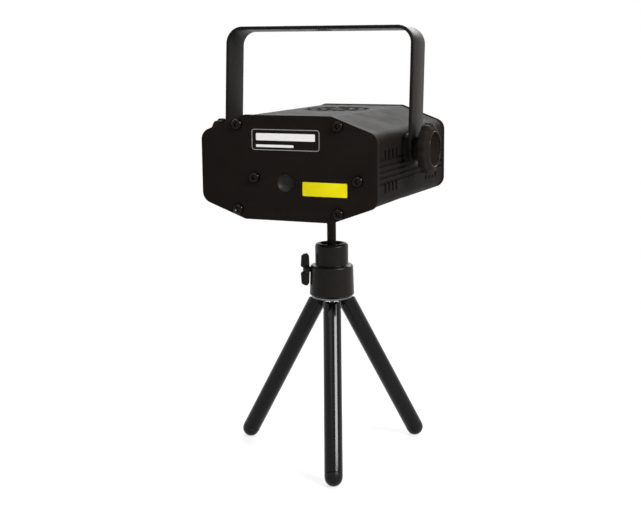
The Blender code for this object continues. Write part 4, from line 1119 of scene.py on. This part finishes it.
class PROJECTOR_OT_lock_screw(bpy.types.Operator):
    """Makes the wing screw that clamps the ball"""

    bl_idname = "projector.lock_screw"
    bl_label = "Lock screw"

    def execute(self, context):
        start, far = WING_START, WING_START + WING_L
        tip = start + 4.2
        hub_r, hub_top, foot, edge = 3.2, start + 3.0, start - HAIR, 0.5
        shaft = threaded(LOCK_R, SEAT_BORE_R, tip, mm(sizes().thread_pitch))
        half = [
            (hub_r, start, 0.4), (8.6, start + 0.2, 0.6), (10.4, start + 1.5, 0.6), (10.0, far - 1.6, 0.5),
            (8.8, far, 0.5), (2.2, far + 0.4, 0.6), (1.5, far - 0.8, 0.4), (1.5, start + 2.0, 0.0),
        ]
        outline = rounded(half + [(-x, z, r) for x, z, r in reversed(half)], 4)
        wing = turned(drawn([outline], WING_T, 0.3, 3), (90, "X"))
        hub = [(0.0, hub_top), (hub_r - edge, hub_top), (hub_r, hub_top - edge), (hub_r, foot), (0.0, foot)]
        wing = combined(wing, lathe(hub, 40), "UNION")
        wing = combined(wing, rod((0, 0, start - 1), (0, 0, tip + GAP), LOCK_BORE_R))
        set_pieces(
            LOCK_SEAT,
            ("lock_thread", shaft, chromed_steel, "lock_knob", "lock_screw", "chrome"),
            ("lock_wings", wing, moulded_abs, "lock_knob", "lock_wing", "black_plastic"),
        )
        return {"FINISHED"}


class PROJECTOR_OT_legs(bpy.types.Operator):
    """Makes the three folding legs: forked top, lacquered tube, pin and rubber foot"""

    bl_idname = "projector.legs"
    bl_label = "Legs"

    def execute(self, context):
        for word in LEGS:
            body = word + "_leg"
            reach = self.leg_length(word)
            pin = eased(rod((0, -PIN_HALF, 0), (0, PIN_HALF, 0), PIN_R, 24), 0.1, 40.0, 2)
            set_pieces(
                leg_seat(word),
                (body + "_fork", self.fork(), lacquered_tube, body, body + "_top", "black_plastic"),
                (body + "_barrel", self.barrel(reach), lacquered_tube, body, body + "_tube", "gloss_black"),
                (body + "_pad", self.foot(word, reach), glossy_rubber, body, body + "_foot", "rubber"),
                (body + "_hinge_pin", pin, lacquered_tube, body, body + "_pin", "dark_steel"),
            )
        return {"FINISHED"}

    def leg_length(self, word):
        """Distance from the leg's pin to the middle of its round foot."""
        drop = LEG_AT[word].z - FOOT_R + FOOT_CUT
        return drop / math.cos(math.radians(LEG_SPLAY))

    def barrel(self, reach):
        top, end = -LEG_CAP_L - HAIR, -reach + FOOT_L + GAP / 2
        bore, edge = LEG_R - TUBE_WALL, 0.2
        ring = [(bore, top), (LEG_R, top), (LEG_R, end + edge), (LEG_R - edge, end), (bore, end)]
        return lathe(ring, 72, True)

    def fork(self):
        rise = LEG_R + 1.0
        end = -LEG_CAP_L - SPIGOT_L
        profile = [(0.0, rise), (LEG_R, rise), (LEG_R, -LEG_CAP_L), (SPIGOT_R, -LEG_CAP_L)]
        top = lathe(profile + [(SPIGOT_R, end), (0.0, end)], 56)
        crown_r = LEG_R + HAIR
        low = end - LEG_R
        crown = [(crown_r, low)] + arc((0, 0), crown_r, 0, 180, 32) + [(-crown_r, low)]
        top = combined(top, turned(drawn([crown], LEG_R * 3), (90, "X")), "INTERSECT")
        pocket_r, pocket_w = LUG_R + 2 * GAP, LUG_T + 2 * GAP
        top = combined(top, block((0, 0, LEG_R), (2 * pocket_r, pocket_w, 2 * LEG_R)))
        top = combined(top, rod((0, -pocket_w / 2, 0), (0, pocket_w / 2, 0), pocket_r, 40))
        return combined(top, rod((0, -LEG_R * 2, 0), (0, LEG_R * 2, 0), PIN_R + HAIR, 24))

    def foot(self, word, reach):
        collar, edge, skirt = -reach + FOOT_L, 0.3, 1.2
        rise = collar + SPIGOT_L
        profile = [(0.0, rise), (SPIGOT_R, rise), (SPIGOT_R, collar), (LEG_R - edge, collar)]
        profile += [(LEG_R, collar - edge), (LEG_R, collar - skirt)]
        profile += [(x, z - reach) for x, z in arc((0, 0), FOOT_R, 0, -84, 14)] + [(0.0, -reach - FOOT_R)]
        pad = lathe(profile, 56)
        back = leg_seat(word).inverted()
        up = (back.to_3x3() @ Vector((0, 0, 1))).normalized()
        whole = pad.verts[:] + pad.edges[:] + pad.faces[:]
        bmesh.ops.bisect_plane(pad, geom=whole, plane_co=back @ Vector(), plane_no=up, clear_inner=True)
        bmesh.ops.holes_fill(pad, edges=[e for e in pad.edges if e.is_boundary])
        return closed(pad)


# Studio

VIEW_AZIMUTH = 23.63
VIEW_ELEVATION = 10.16
VIEW_ROLL = -0.53
VIEW_DISTANCE = 761.93
VIEW_SHIFT = (-5.02, -59.33)
VIEW_LENS = 68.71
SENSOR_WIDTH = 36.0
FLOOR_DROP = 0.1


def seen_directly(tree):
    """1 for rays from the camera, in reflections and through glass, and 0 for those that light the object."""
    rays = add_node(tree, "LightPath")
    seen = add_node(tree, "Math", {0: rays.outputs["Is Camera Ray"], 1: rays.outputs["Is Glossy Ray"]},
                    operation="MAXIMUM")
    return add_node(tree, "Math", {0: seen.outputs[0], 1: rays.outputs["Is Transmission Ray"]},
                    operation="MAXIMUM").outputs[0]


def studio_paper():
    # Seamless white paper: matt and even. It shows as plain white and keeps part of the object's soft shadow.
    material = bpy.data.materials.new("studio_paper")
    material.use_nodes = True
    tree = material.node_tree
    tree.nodes.clear()
    place = add_node(tree, "TexCoord").outputs["Object"]
    away = add_node(tree, "VectorMath", {0: place}, operation="LENGTH").outputs["Value"]
    # The shadow fades out between 0.1 and 0.5 m from the object's axis
    fade = add_node(tree, "MapRange", {
        "Value": away, "From Min": 0.1, "From Max": 0.5, "To Min": 0.72, "To Max": 1.0,
    }, interpolation_type="SMOOTHSTEP")
    share = add_node(tree, "Math", {0: seen_directly(tree), 1: fade.outputs[0]}, operation="MULTIPLY")
    paper = add_node(tree, "BsdfDiffuse", {"Color": colours().floor})
    white = add_node(tree, "Emission", {"Color": (1.0, 1.0, 1.0, 1.0), "Strength": 1.0})
    both = add_node(tree, "MixShader", {0: share.outputs[0], 1: paper.outputs[0], 2: white.outputs[0]})
    add_node(tree, "OutputMaterial", {"Surface": both.outputs[0]})
    return material


def set_world():
    world = bpy.data.worlds.new("studio")
    world.use_nodes = True
    tree = world.node_tree
    tree.nodes.clear()
    fill = add_node(tree, "Background", {"Color": linear("f4f5f7"), "Strength": 0.16})
    white = add_node(tree, "Background", {"Color": (1.0, 1.0, 1.0, 1.0), "Strength": 1.0})
    both = add_node(tree, "MixShader", {0: seen_directly(tree), 1: fill.outputs[0], 2: white.outputs[0]})
    add_node(tree, "OutputWorld", {"Surface": both.outputs[0]})
    bpy.context.scene.world = world


def set_lamp(name, at, aim, width, height, watts, roll=0.0):
    """A soft rectangular lamp in metres that points at a spot, rolled about its beam in degrees."""
    lamp = bpy.data.lights.new(name, "AREA")
    lamp.shape = "RECTANGLE"
    lamp.size = width
    lamp.size_y = height
    lamp.energy = watts
    holder = linked(name, lamp)
    holder.location = at
    holder.rotation_mode = "QUATERNION"
    turn = Quaternion((0.0, 0.0, 1.0), math.radians(roll))
    holder.rotation_quaternion = (Vector(aim) - Vector(at)).to_track_quat("-Z", "Y") @ turn


def set_camera():
    azimuth, elevation, roll = (math.radians(v) for v in (VIEW_AZIMUTH, VIEW_ELEVATION, VIEW_ROLL))
    level = math.cos(elevation)
    back = Vector((math.sin(azimuth) * level, -math.cos(azimuth) * level, math.sin(elevation)))
    right = Vector((math.cos(azimuth), math.sin(azimuth), 0.0))
    up = back.cross(right)
    right, up = right * math.cos(roll) + up * math.sin(roll), up * math.cos(roll) - right * math.sin(roll)
    target = BODY_AT + right * VIEW_SHIFT[0] + up * VIEW_SHIFT[1]
    lens = bpy.data.cameras.new("camera")
    lens.lens = VIEW_LENS
    lens.sensor_width = SENSOR_WIDTH
    lens.clip_start = 0.01
    lens.clip_end = 50.0
    holder = linked("camera", lens)
    turn = Matrix((right, up, back)).transposed().to_4x4()
    holder.matrix_world = Matrix.Translation((target + back * VIEW_DISTANCE) * MM) @ turn
    bpy.context.scene.camera = holder


class PROJECTOR_OT_stage(bpy.types.Operator):
    """Makes the white floor, the soft lamps and the camera"""

    bl_idname = "projector.stage"
    bl_label = "Studio"

    def execute(self, context):
        context.scene.view_settings.view_transform = "Standard"
        bm = bmesh.new()
        bmesh.ops.create_circle(bm, cap_ends=True, segments=96, radius=6.0)
        mesh = as_mesh("studio_floor", bm)
        mesh.materials.append(studio_paper())
        floor = linked("studio_floor", mesh)
        floor.location.z = -FLOOR_DROP * MM
        set_world()
        middle = (0.0, 0.0, 0.15)
        set_lamp("right_softbox", (1.28, -0.37, 0.95), middle, 0.84, 0.34, 33.0, -22.0)
        set_lamp("rear_softbox", (-0.1, 0.95, 0.85), middle, 1.2, 0.6, 21.0)
        set_lamp("top_softbox", (-0.2, -0.75, 1.4), middle, 1.2, 1.2, 7.5)
        set_camera()
        return {"FINISHED"}


class PROJECTOR_PT_looks(bpy.types.Panel):
    """Lists the pieces with their sizes and colours"""

    bl_idname = "PROJECTOR_PT_looks"
    bl_label = "Light projector"
    bl_space_type = "VIEW_3D"
    bl_region_type = "UI"
    bl_category = "Projector"

    def draw(self, context):
        for operator in OPERATORS:
            self.layout.operator(operator.bl_idname)
        for group in (context.scene.projector_sizes, context.scene.projector_colours):
            box = self.layout.box()
            for name in group.__annotations__:
                box.prop(group, name)


OPERATORS = (
    PROJECTOR_OT_housing, PROJECTOR_OT_end_plates, PROJECTOR_OT_screws, PROJECTOR_OT_light_outlet,
    PROJECTOR_OT_front_marks, PROJECTOR_OT_yoke, PROJECTOR_OT_knobs, PROJECTOR_OT_rear_controls,
    PROJECTOR_OT_tripod_head, PROJECTOR_OT_lock_screw, PROJECTOR_OT_legs, PROJECTOR_OT_stage,
)
CLASSES = (ProjectorSizes, ProjectorColours, *OPERATORS, PROJECTOR_PT_looks)


def register():
    for cls in CLASSES:
        bpy.utils.register_class(cls)
    bpy.types.Scene.projector_sizes = PointerProperty(type=ProjectorSizes)
    bpy.types.Scene.projector_colours = PointerProperty(type=ProjectorColours)


def unregister():
    del bpy.types.Scene.projector_colours
    del bpy.types.Scene.projector_sizes
    for cls in reversed(CLASSES):
        bpy.utils.unregister_class(cls)


def main():
    register()
    for operator in OPERATORS:
        group, name = operator.bl_idname.split(".")
        getattr(getattr(bpy.ops, group), name)()


if __name__ == "__main__":
    main()
